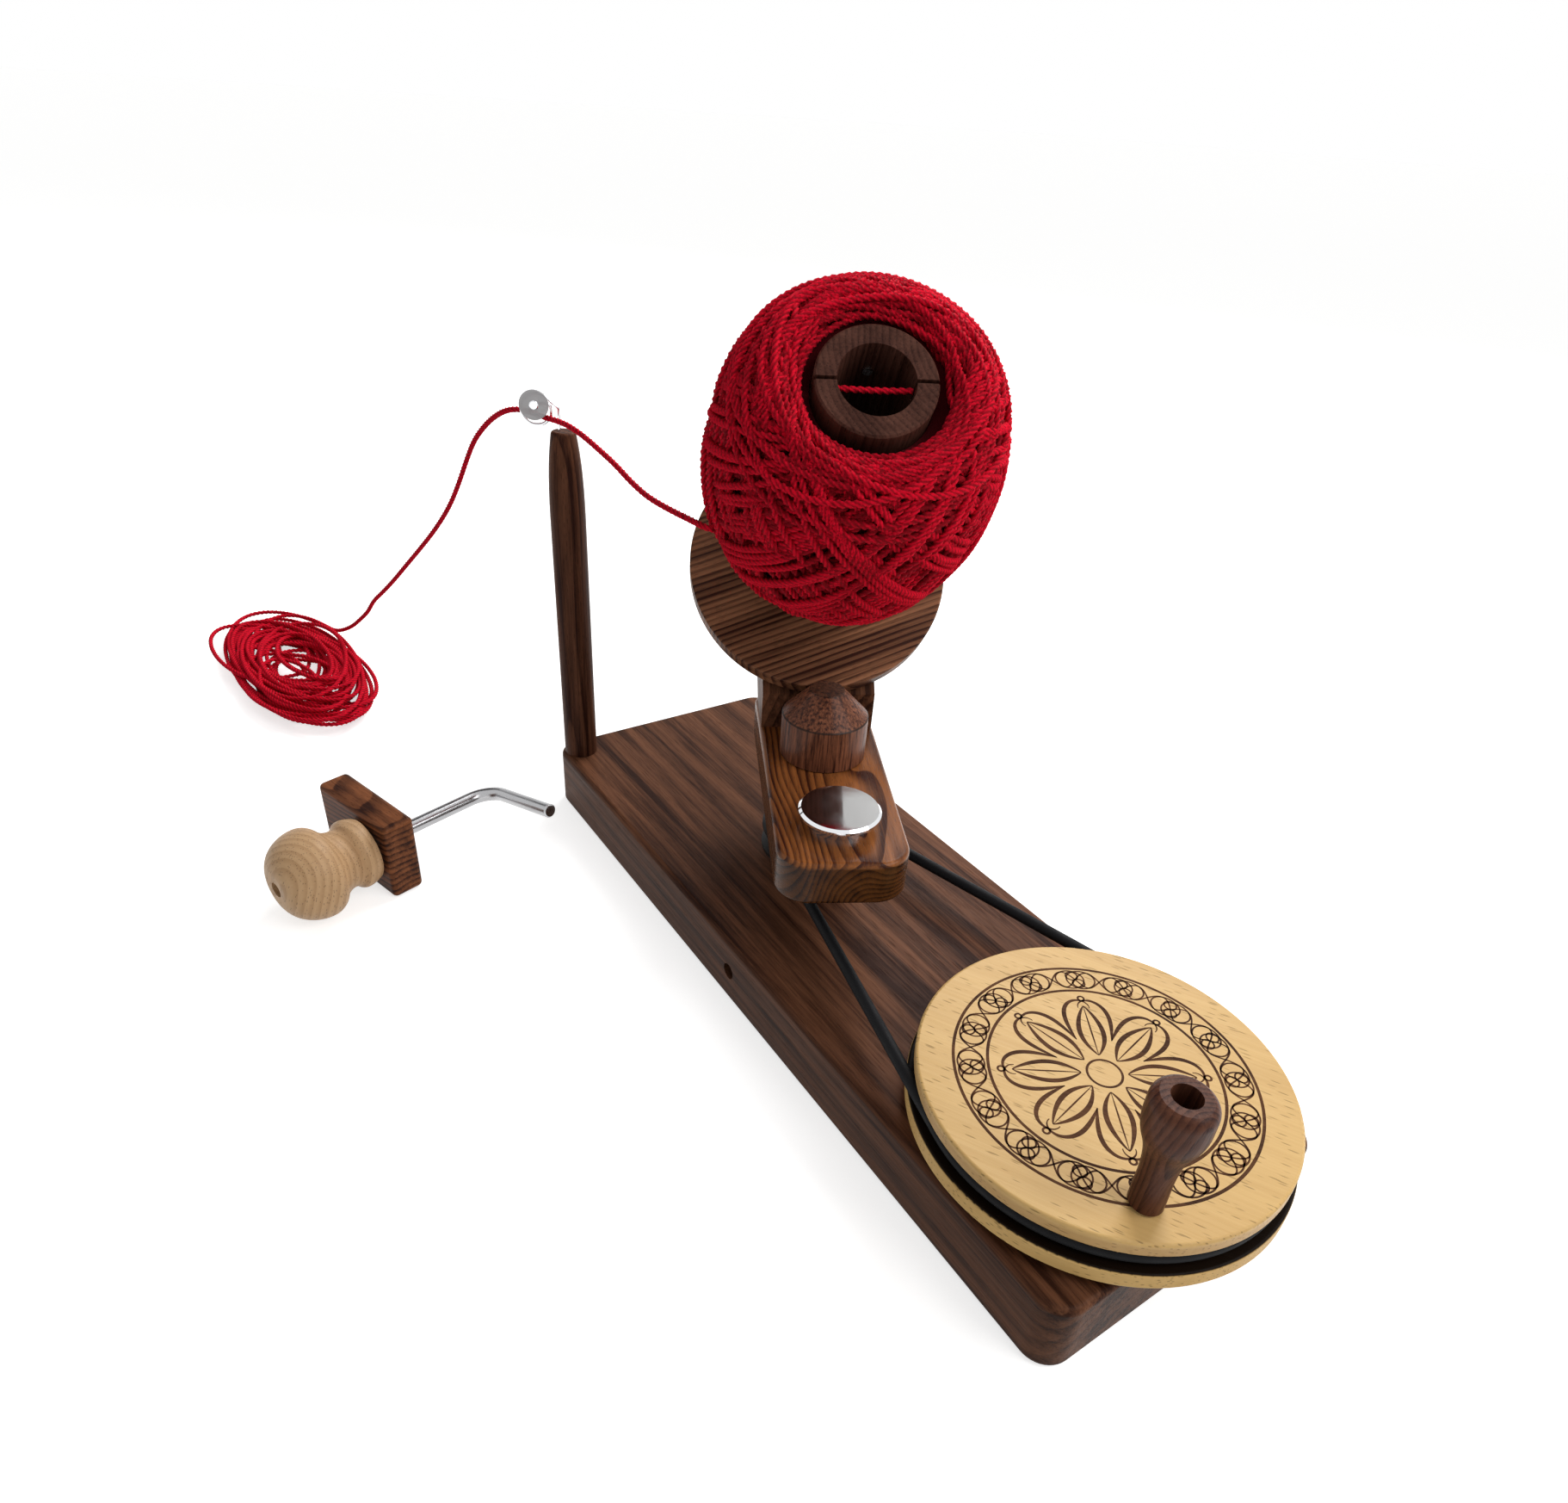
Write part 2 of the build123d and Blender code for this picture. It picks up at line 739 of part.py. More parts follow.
def least_gap(place, first, last, steps_per_turn, apart, radius=yarn_radius):
    # Smallest clear distance between stretches at least `apart` turns from each other.
    count = int((last - first) * steps_per_turn)
    points = [place(first + (last - first) * step / count) for step in range(count + 1)]
    skip = int(apart * steps_per_turn)
    near = min((points[one] - points[two]).length
               for one in range(len(points)) for two in range(one + skip, len(points)))
    return near - 2 * radius


def smooth_step(value):
    held = min(max(value, 0.0), 1.0)
    return held * held * (3 - 2 * held)


def winding_point(turns):
    # Up the package in one layer and back down over it, crossing on the way.
    half = winding_loops / 2
    up = turns <= half
    share = turns / half if up else (winding_loops - turns) / half
    share = 0.5 + 0.5 * sin(pi * (share - 0.5)) if 0 <= share <= 1 else share
    layer = smooth_step((turns - half + 0.25) * 2)
    height = package_start + 6 + (package_length - 14) * (0.04 + 0.92 * share)
    profile = package_profile((height - package_start) / package_length)
    radius = profile + yarn_radius + 0.9 + winding_lift * layer
    angle = 2 * pi * turns
    return Vector(radius * cos(angle), radius * sin(angle), height)


def yarn_winding():
    stops = [step / 4 for step in range(4 * winding_loops + 1)]
    gap = least_gap(winding_point, 0, winding_loops, 36, 0.5)
    print(f"yarn winding: least gap to itself {gap:.2f} mm")
    return spindle(yarn_tube(route_of(winding_point, stops)))


def yarn_start():
    half = core_bore_radius - 0.2
    strand = Pos(0, 0, core_length - core_slot_depth / 2) * Rot(90, 0, 0)
    return spindle(strand * Cylinder(0.85 * yarn_radius, 2 * half))


def hank_point(turns):
    # Flat oval loops that spiral in and out, dropping one layer at each reversal.
    layer = min(int(turns / hank_loops_per_layer), hank_layers - 1)
    within = turns - layer * hank_loops_per_layer
    inward = within if layer % 2 == 0 else hank_loops_per_layer - within
    drops = sum(smooth_step((turns - hank_loops_per_layer * level + 0.25) * 2)
                for level in range(1, hank_layers))
    inset = hank_loop_step * inward
    angle = 2 * pi * turns + radians(120)
    x = (hank_half_length - 1.35 * inset) * cos(angle)
    y = (hank_half_width - inset) * sin(angle)
    turn = radians(hank_turn)
    level = yarn_radius + hank_layer_lift * (hank_layers - 1 - drops)
    return Vector(hank_center[0] + x * cos(turn) - y * sin(turn),
                  hank_center[1] + x * sin(turn) + y * cos(turn), level)


def yarn_hank():
    loops = hank_loops_per_layer * hank_layers
    stops = [step / 4 for step in range(4 * loops + 1)]
    gap = least_gap(hank_point, 0, loops, 48, 0.4)
    print(f"yarn hank: least gap to itself {gap:.2f} mm")
    return yarn_tube(route_of(hank_point, stops))


# Points of the free strand from beside the package, through the guide, to the hank.
strand_points = [
    (-80.3, -60.0, 220.9), (-104.0, -62.2, 220.4), (-122.0, -64.0, 223.6),
    (-139.0, -65.1, 228.6), (-155.0, -66.4, 231.8), (-169.0, -67.4, 234.3),
    (-181.5, -69.2, 236.2), (-191.9, -70.7, 236.2), (-200.8, -71.3, 235.3),
    (-205.5, -73.8, 235.6), (-209.8, -77.7, 237.0), (-216.2, -81.6, 237.5),
    (-226.5, -85.0, 235.0), (-241.0, -87.0, 228.3), (-256.0, -88.2, 219.5),
    (-270.5, -89.8, 208.5), (-284.0, -91.0, 194.0), (-297.0, -92.8, 177.5),
    (-312.0, -95.5, 159.5), (-331.0, -99.5, 141.0), (-351.0, -104.0, 123.5),
    (-375.0, -110.0, 103.0), (-397.0, -115.5, 84.0), (-416.0, -120.5, 68.5),
    (-431.0, -124.5, 57.0), (-442.0, -127.0, 45.0), (-454.0, -130.0, 35.5),
    (-469.0, -135.7, 23.0)]

tail_points = [(-64.1, -59.2, 221.3), (-71.5, -59.4, 221.2), (-79.9, -59.96, 220.91)]


def arc_radii(points):
    radii = []
    for before, corner, after in zip(points, points[1:], points[2:]):
        run_in = Vector(*corner) - Vector(*before)
        run_out = Vector(*after) - Vector(*corner)
        turn = radians(run_in.get_angle(run_out))
        radii.append(0.45 * min(run_in.length, run_out.length) / tan(turn / 2))
    return radii


def cord_tube(name, points):
    radii = arc_radii(points)
    route = FilletPolyline(*points, radius=radii)
    print(f"{name}: least arc radius {min(radii):.1f} mm, radii",
          [round(radius) for radius in radii])
    return yarn_tube(route.edges())


def yarn_strand():
    # Lands on the hank along the way its first loop starts.
    ahead = heading(hank_point, 0)
    end = hank_point(0) - ahead * 2 * yarn_radius
    return cord_tube("yarn strand", strand_points + [tuple(end - ahead * 15), tuple(end)])


def yarn_tail():
    return cord_tube("yarn tail", tail_points)


# ---- guide post, wire and disc -------------------------------------------------

def guide_post():
    bottom = board_top - post_socket_depth
    top = board_top + post_height
    shoulder = top - post_taper_height
    side = turned_side([((post_radius, shoulder), (0, 1)),
                        ((post_tip_radius, top - 1.5), (-0.16, 1))])
    outline = Wire([
        Edge.make_line((0, bottom), (post_radius, bottom)),
        Edge.make_line((post_radius, bottom), (post_radius, shoulder)), *side,
        ThreePointArc((post_tip_radius, top - 1.5), (post_tip_radius - 0.6, top - 0.4),
                      (post_tip_radius - 1.8, top)).edge(),
        Edge.make_line((post_tip_radius - 1.8, top), (0, top)),
        Edge.make_line((0, top), (0, bottom))])
    post = turned(outline)
    place = guide_frame(1.8, 0, 0)
    hole = cylinder(wire_radius + screw_gap, top - 13, top + 1)
    return Pos(post_x, post_y, 0) * post - Pos(place.X, place.Y, 0) * hole


def guide_frame(side, front, level):
    # A point beside the post: to its side, in front of it, and at a height.
    angle = radians(eye_heading)
    ahead = Vector(cos(angle), sin(angle), 0)
    across = Vector(sin(angle), -cos(angle), 0)
    return Vector(post_x, post_y, level) + ahead * front + across * side


def guide_wire():
    top = board_top + post_height
    middle = top + eye_lift
    corner = eye_radius / cos(pi / 8)
    points = [guide_frame(1.8, 0, top - 12), guide_frame(1.8, 0, middle + 0.4)]
    for step in range(7):
        angle = radians(112.5 - 45 * step)
        points.append(guide_frame(eye_side + corner * -cos(pi - angle), 0.36 * step,
                                  middle + corner * sin(angle)))
    plate = top + guide_disc_lift
    back = guide_disc_front - guide_disc_thickness / 2
    points.append(guide_frame(eye_side - eye_radius + 0.2, 2.9, plate + 0.4))
    points.append(guide_frame(guide_disc_side, back - 1.8, plate))
    points.append(guide_frame(guide_disc_side, back, plate))
    radii = [2.4] + [6.6] * 6 + [3.2, 2.2, 1.2]
    route = FilletPolyline(*points, radius=radii)
    face = Plane(route @ 0, z_dir=route % 0) * Circle(wire_radius)
    return sweep(face, route)


def guide_plate(radius, back, front):
    start = guide_frame(guide_disc_side, back, board_top + post_height + guide_disc_lift)
    ahead = guide_frame(0, 1, 0) - guide_frame(0, 0, 0)
    return Plane(start, z_dir=ahead) * cylinder(radius, 0, front - back)


def guide_disc():
    half = guide_disc_thickness / 2
    disc = guide_plate(guide_disc_radius, guide_disc_front - half, guide_disc_front + half)
    return fillet(disc.edges(), 0.4)


def guide_rivet():
    front = guide_disc_front + guide_disc_thickness / 2
    rivet = guide_plate(rivet_radius, front, front + 0.9)
    return chamfer(rivet.faces().sort_by(Axis.X)[-1].edges(), 0.5)


# ---- clamp ---------------------------------------------------------------------

def clamp_axis(shape):
    # From the clamp's frame, +Z along the rod from the knob, to where it lies.
    turn = Rot(0, 0, clamp_heading) * Rot(0, 90, 0)
    return Pos(clamp_start[0], clamp_start[1], clamp_axis_height) * turn * shape


def clamp_rod():
    lean = asin(clamp_leg_lift / clamp_leg_length)
    tip = (clamp_leg_length * sin(lean) * -1, clamp_leg_length * cos(lean) * -1, clamp_bend)
    route = FilletPolyline((0, 0, clamp_rod_start), (0, 0, clamp_bend), tip,
                           radius=clamp_bend_radius)
    face = Plane(route @ 0, z_dir=route % 0) * Circle(clamp_rod_radius)
    rod = sweep(face, route)
    ends = rod.faces().filter_by(GeomType.PLANE)
    rod = chamfer([edge for end in ends for edge in end.edges()], 0.8)
    return clamp_axis(rod)


def knob_inner_end():
    return knob_outer_end + knob_length


def clamp_block():
    start = knob_inner_end() + 2
    block = Box(clamp_block_height, clamp_block_width, clamp_block_thickness)
    block = fillet(block.edges(), clamp_block_edge)
    drop = clamp_axis_height - clamp_block_height / 2
    block = Pos(drop, -clamp_block_offset, start + clamp_block_thickness / 2) * block
    return clamp_axis(block - cylinder(clamp_rod_radius + 2 * screw_gap, 0, clamp_bend))


def clamp_washer():
    start = knob_inner_end() + 0.4
    return clamp_axis(ring(2.2 * clamp_rod_radius, clamp_rod_radius + 2 * screw_gap,
                           start, knob_inner_end() + 2))


def clamp_knob():
    start = knob_outer_end
    end = knob_inner_end()
    side = turned_side([
        ((0.34 * knob_radius, start), (1, 0.1)),
        ((knob_radius, start + 0.4 * knob_length), (0, 1)),
        ((knob_neck_radius, start + 0.73 * knob_length), (0, 1)),
        ((knob_collar_radius, start + 0.86 * knob_length), (0, 1)),
        ((0.9 * knob_collar_radius, end), (-0.5, 1))])
    outline = Wire([Edge.make_line((0, start), (0.34 * knob_radius, start)), *side,
                    Edge.make_line((0.9 * knob_collar_radius, end), (0, end)),
                    Edge.make_line((0, end), (0, start))])
    knob = turned(outline) - cylinder(knob_bore_radius, start - 1, end + 1)
    knob -= cylinder(insert_radius + screw_gap, end - insert_length, end + 1)
    return clamp_axis(knob)


def clamp_insert():
    end = knob_inner_end()
    return clamp_axis(ring(insert_radius, clamp_rod_radius + fit_gap, end - insert_length, end))


pieces = [
    base_board, main_shaft, shaft_washer, shaft_nut, shaft_spacer, cone_spacer, sun_cone,
    wheel_axle, axle_washer, retaining_ring, wheel_top_disc, wheel_core, wheel_bottom_disc,
    wheel_bearings, wheel_screws, handle_insert, handle_washer, handle_screw, crank_handle,
    drive_belt, arm_pulley, pulley_screws, flyer_arm, arm_bearings, flyer_upright,
    upright_screws, counterweight, counterweight_screw, spindle_bolt, spindle_nut,
    spindle_washers, flange_disc, flange_screws, core_tube, core_set_screw, core_bearings,
    yarn_package, yarn_winding, yarn_start, yarn_tail, yarn_strand, yarn_hank, guide_post,
    guide_wire, guide_disc, guide_rivet, clamp_rod, clamp_block, clamp_washer, clamp_knob,
    clamp_insert]

os.makedirs("parts", exist_ok=True)
for piece in pieces:
    export_step(piece(), f"parts/{piece.__name__}.step")
print("exported", len(pieces), "pieces")
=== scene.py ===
import math
import random

import bpy
import numpy as np
from mathutils import Matrix, Vector


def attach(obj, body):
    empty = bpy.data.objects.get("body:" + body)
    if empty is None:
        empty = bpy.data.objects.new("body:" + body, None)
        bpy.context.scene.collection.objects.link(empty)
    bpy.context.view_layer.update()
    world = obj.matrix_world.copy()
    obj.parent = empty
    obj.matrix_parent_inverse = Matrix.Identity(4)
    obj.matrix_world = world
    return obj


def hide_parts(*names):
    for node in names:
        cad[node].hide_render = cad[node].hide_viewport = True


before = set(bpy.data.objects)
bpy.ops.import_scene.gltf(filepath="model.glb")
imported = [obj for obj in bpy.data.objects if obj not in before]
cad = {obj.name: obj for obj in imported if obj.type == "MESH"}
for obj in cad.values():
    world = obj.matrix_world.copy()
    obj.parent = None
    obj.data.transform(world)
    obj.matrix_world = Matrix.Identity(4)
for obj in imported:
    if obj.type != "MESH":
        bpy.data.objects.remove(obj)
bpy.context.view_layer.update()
mm = 0.001

# Places that the pieces share, in metres, as in the CAD source.
wheelCentre = Vector((0.159, 0.0, 0.0))
wheelTop = 0.0624
armHeading = math.radians(-28)
spindleTilt = math.radians(44)
flangeCentre = Vector((-0.0994225, 0.0297345, 0.177308))
alongSpindle = Vector((0.6133469, -0.3261224, 0.7193398))


def clearSelection():
    bpy.ops.object.select_all(action="DESELECT")


def meshObject(name, verts, faces, smooth=True):
    mesh = bpy.data.meshes.new(name)
    mesh.vertices.add(len(verts))
    mesh.vertices.foreach_set("co", np.asarray(verts, np.float32).ravel())
    faces = np.asarray(faces, np.int32)
    sides = faces.shape[1]
    mesh.loops.add(faces.size)
    mesh.loops.foreach_set("vertex_index", faces.ravel())
    mesh.polygons.add(len(faces))
    mesh.polygons.foreach_set("loop_start", np.arange(0, faces.size, sides, dtype=np.int32))
    mesh.update(calc_edges=True)
    mesh.validate()
    mesh.polygons.foreach_set("use_smooth", [smooth] * len(mesh.polygons))
    piece = bpy.data.objects.new(name, mesh)
    bpy.context.scene.collection.objects.link(piece)
    return piece


camera = {"place": (0.31719, -0.27729, 0.37463), "turn": (56.533, -3.362, 56.887), "lens": 23.928,
          "lift": 0.0275, "near": 0.01}


def addCamera():
    turn = [math.radians(angle) for angle in camera["turn"]]
    bpy.ops.object.camera_add(location=camera["place"], rotation=turn)
    eye = bpy.context.object
    eye.name = "photoCamera"
    eye.data.lens = camera["lens"]
    eye.data.shift_y = camera["lift"]
    eye.data.clip_start = camera["near"]
    bpy.context.scene.camera = eye


addCamera()
print("camera placed")


def addNode(tree, kind, inputs=None, **fields):
    node = tree.nodes.new(kind)
    for name, value in fields.items():
        setattr(node, name, value)
    for name, value in (inputs or {}).items():
        socket = node.inputs[name]
        if isinstance(value, bpy.types.NodeSocket):
            tree.links.new(value, socket)
        else:
            socket.default_value = value
    return node


def mathOf(tree, operation, first, second=0.0, clamp=False):
    node = addNode(tree, "ShaderNodeMath", {0: first, 1: second}, operation=operation, use_clamp=clamp)
    return node.outputs[0]


def rampOf(tree, value, low, high, start=0.0, end=1.0):
    node = addNode(tree, "ShaderNodeMapRange", {"Value": value, "From Min": low, "From Max": high,
                   "To Min": start, "To Max": end}, interpolation_type="SMOOTHSTEP")
    return node.outputs[0]


def mixColours(tree, share, first, second, blend="MIX"):
    node = addNode(tree, "ShaderNodeMix", {"Factor": share}, data_type="RGBA", blend_type=blend)
    for index, value in ((6, first), (7, second)):
        if isinstance(value, bpy.types.NodeSocket):
            tree.links.new(value, node.inputs[index])
        else:
            node.inputs[index].default_value = value
    return node.outputs[2]


def noiseOf(tree, vector, scale, detail=2.0, rough=0.5):
    node = addNode(tree, "ShaderNodeTexNoise", {"Vector": vector, "Scale": scale, "Detail": detail,
                   "Roughness": rough})
    return node.outputs["Fac"]


def stretched(tree, vector, scale):
    node = addNode(tree, "ShaderNodeMapping", {"Vector": vector, "Scale": scale})
    return node.outputs[0]


def startGroup(name, inputs, outputs):
    tree = bpy.data.node_groups.new(name, "ShaderNodeTree")
    for label, kind, value in inputs:
        socket = tree.interface.new_socket(label, in_out="INPUT", socket_type=kind)
        if value is not None:
            socket.default_value = value
    for label, kind in outputs:
        tree.interface.new_socket(label, in_out="OUTPUT", socket_type=kind)
    return tree, tree.nodes.new("NodeGroupInput").outputs, tree.nodes.new("NodeGroupOutput")


# Growth rings round the X axis of the vector it is given, with fibres, streaks and pores along X.
def makeWoodFigure():
    colour, number = "NodeSocketColor", "NodeSocketFloat"
    tree, given, made = startGroup("woodFigure", [
        ("Vector", "NodeSocketVector", None), ("Light", colour, (0.2, 0.1, 0.05, 1)),
        ("Dark", colour, (0.03, 0.01, 0.01, 1)), ("Ring Count", number, 180.0), ("Ring Strength", number, 0.4),
        ("Streak Count", number, 80.0), ("Streak Strength", number, 0.6), ("Fibre Strength", number, 0.3),
        ("Pore Strength", number, 0.3), ("Pore Length", number, 0.16), ("Pore Count", number, 900.0),
        ("Warp", number, 0.012)],
        [("Color", colour), ("Height", number), ("Gloss", number)])
    vector = given["Vector"]
    slow = noiseOf(tree, stretched(tree, vector, (0.25, 1, 1)), 16.0, 2.0)
    warp = mathOf(tree, "MULTIPLY", mathOf(tree, "SUBTRACT", slow, 0.5), given["Warp"])
    parts = addNode(tree, "ShaderNodeSeparateXYZ", {0: vector}).outputs
    across = mathOf(tree, "ADD", mathOf(tree, "POWER", parts[1], 2.0), mathOf(tree, "POWER", parts[2], 2.0))
    radius = mathOf(tree, "ADD", mathOf(tree, "SQRT", across), warp)
    phase = mathOf(tree, "FRACT", mathOf(tree, "MULTIPLY", radius, given["Ring Count"]))
    late = mathOf(tree, "SUBTRACT", rampOf(tree, phase, 0.25, 0.9), rampOf(tree, phase, 0.93, 1.0))
    streaks = noiseOf(tree, stretched(tree, vector, (0.05, 1, 1)), given["Streak Count"], 7.0, 0.68)
    streak = rampOf(tree, streaks, 0.34, 0.66)
    fibres = noiseOf(tree, stretched(tree, vector, (0.025, 1, 1)), 900.0, 3.0, 0.6)
    fibre = rampOf(tree, fibres, 0.3, 0.7)
    lengthwise = addNode(tree, "ShaderNodeCombineXYZ", {0: given["Pore Length"], 1: 1.0, 2: 1.0}).outputs[0]
    shrunk = addNode(tree, "ShaderNodeVectorMath", {0: vector, 1: lengthwise}, operation="MULTIPLY").outputs[0]
    cells = addNode(tree, "ShaderNodeTexVoronoi", {"Vector": shrunk, "Scale": given["Pore Count"],
                    "Randomness": 0.85})
    pore = rampOf(tree, cells.outputs["Distance"], 0.30, 0.17)
    tone = mathOf(tree, "MULTIPLY", late, given["Ring Strength"])
    tone = mathOf(tree, "ADD", tone, mathOf(tree, "MULTIPLY", streak, given["Streak Strength"]))
    tone = mathOf(tree, "ADD", tone, mathOf(tree, "MULTIPLY", fibre, given["Fibre Strength"]), clamp=True)
    body = mixColours(tree, tone, given["Light"], given["Dark"])
    shade = mixColours(tree, 0.75, given["Dark"], (0.0, 0.0, 0.0, 1))
    poreShare = mathOf(tree, "MULTIPLY", pore, given["Pore Strength"])
    tree.links.new(mixColours(tree, poreShare, body, shade), made.inputs["Color"])
    height = mathOf(tree, "SUBTRACT", mathOf(tree, "MULTIPLY", fibre, 0.3), pore)
    tree.links.new(mathOf(tree, "SUBTRACT", height, mathOf(tree, "MULTIPLY", late, 0.2)), made.inputs["Height"])
    tree.links.new(mathOf(tree, "MULTIPLY", mathOf(tree, "ADD", fibre, pore), 0.5), made.inputs["Gloss"])
    return tree


# Fine smudges and handling marks for hard finishes.
def makeHandled():
    number = "NodeSocketFloat"
    tree, given, made = startGroup("handledFinish", [
        ("Vector", "NodeSocketVector", None), ("Low", number, 0.2), ("High", number, 0.4),
        ("Grain", number, 90.0)],
        [("Roughness", number), ("Height", number)])
    cloud = noiseOf(tree, given["Vector"], given["Grain"], 4.0, 0.6)
    spread = addNode(tree, "ShaderNodeMapRange", {"Value": cloud, "From Min": 0.3, "From Max": 0.7,
                     "To Min": given["Low"], "To Max": given["High"]}).outputs[0]
    tree.links.new(spread, made.inputs["Roughness"])
    fine = noiseOf(tree, given["Vector"], 2600.0, 2.0)
    tree.links.new(fine, made.inputs["Height"])
    return tree


woodFigure = makeWoodFigure()
handledFinish = makeHandled()


def startMaterial(name):
    material = bpy.data.materials.new(name)
    material.use_nodes = True
    tree = material.node_tree
    tree.nodes.clear()
    shader = tree.nodes.new("ShaderNodeBsdfPrincipled")
    out = tree.nodes.new("ShaderNodeOutputMaterial")
    tree.links.new(shader.outputs[0], out.inputs["Surface"])
    place = tree.nodes.new("ShaderNodeTexCoord").outputs["Object"]
    return material, tree, shader, place


def useGroup(tree, group, **inputs):
    node = tree.nodes.new("ShaderNodeGroup")
    node.node_tree = group
    for name, value in inputs.items():
        socket = node.inputs[name.replace("_", " ")]
        if isinstance(value, bpy.types.NodeSocket):
            tree.links.new(value, socket)
        else:
            socket.default_value = value
    return node.outputs


def addBump(tree, shader, height, strength, distance):
    bump = addNode(tree, "ShaderNodeBump", {"Strength": strength, "Distance": distance, "Height": height})
    tree.links.new(bump.outputs[0], shader.inputs["Normal"])


# Turns the pattern so that its X runs along `grain`, with the pith at `pith`.
def grainVector(tree, place, grain, pith):
    back = Vector(grain).normalized().to_track_quat("X", "Z").inverted().to_euler()
    moved = addNode(tree, "ShaderNodeVectorMath", {0: place, 1: tuple(pith)}, operation="SUBTRACT").outputs[0]
    return addNode(tree, "ShaderNodeMapping", {"Vector": moved, "Rotation": tuple(back)}).outputs[0]


# `marks` are thin dark lines at a height, painted shade where a sharp edge turns: (height, half width, share).
# Darkening past a height paints shade on the faces below a top, in places with a darker edge tone as well: (height
# where it starts, height where it is full, share).
# Both use the `deep` colour.
def makeWood(name, light, dark, grain, pith, rough=(0.4, 0.55), coat=0.0, bump=0.25, shine=0.05, marks=(),
             shadeAndStain=None, deep=(0.008, 0.004, 0.002), **figure):
    material, tree, shader, place = startMaterial(name)
    vector = grainVector(tree, place, grain, pith)
    wood = useGroup(tree, woodFigure, Vector=vector, Light=(*light, 1), Dark=(*dark, 1), **figure)
    colour, deep = wood["Color"], (*deep, 1)
    if marks or shadeAndStain:
        height = addNode(tree, "ShaderNodeSeparateXYZ", {0: place}).outputs[2]
    for level, reach, share in marks:
        away = mathOf(tree, "ABSOLUTE", mathOf(tree, "SUBTRACT", height, level))
        colour = mixColours(tree, rampOf(tree, away, reach, 0.3 * reach, 0.0, share), colour, deep)
    # Painted shade on the faces below the given height.
    if shadeAndStain:
        colour = mixColours(tree, rampOf(tree, height, shadeAndStain[0], shadeAndStain[1], 0.0, shadeAndStain[2]), colour, deep)
    tree.links.new(colour, shader.inputs["Base Color"])
    spread = addNode(tree, "ShaderNodeMapRange", {"Value": wood["Gloss"], "To Min": rough[0],
                     "To Max": rough[1]}).outputs[0]
    tree.links.new(spread, shader.inputs["Roughness"])
    shader.inputs["Specular IOR Level"].default_value = shine
    shader.inputs["Coat Weight"].default_value = coat
    shader.inputs["Coat Roughness"].default_value = 0.18
    addBump(tree, shader, wood["Height"], bump, 0.0002)
    return material


def makePlain(name, colour, low, high, metallic=0.0, bump=0.05, grain=90.0, shine=0.5):
    material, tree, shader, place = startMaterial(name)
    shader.inputs["Base Color"].default_value = (*colour, 1)
    shader.inputs["Metallic"].default_value = metallic
    shader.inputs["Specular IOR Level"].default_value = shine
    finish = useGroup(tree, handledFinish, Vector=place, Low=low, High=high, Grain=grain)
    tree.links.new(finish["Roughness"], shader.inputs["Roughness"])
    addBump(tree, shader, finish["Height"], bump, 0.0001)
    return material, tree, shader


walnut = {"light": (0.215, 0.088, 0.044), "dark": (0.032, 0.011, 0.006)}
redWalnut = {"light": (0.430, 0.150, 0.040), "dark": (0.045, 0.011, 0.005)}
beech = {"light": (0.690, 0.450, 0.175), "dark": (0.510, 0.300, 0.100)}
armAlong = (math.cos(armHeading), math.sin(armHeading), 0)

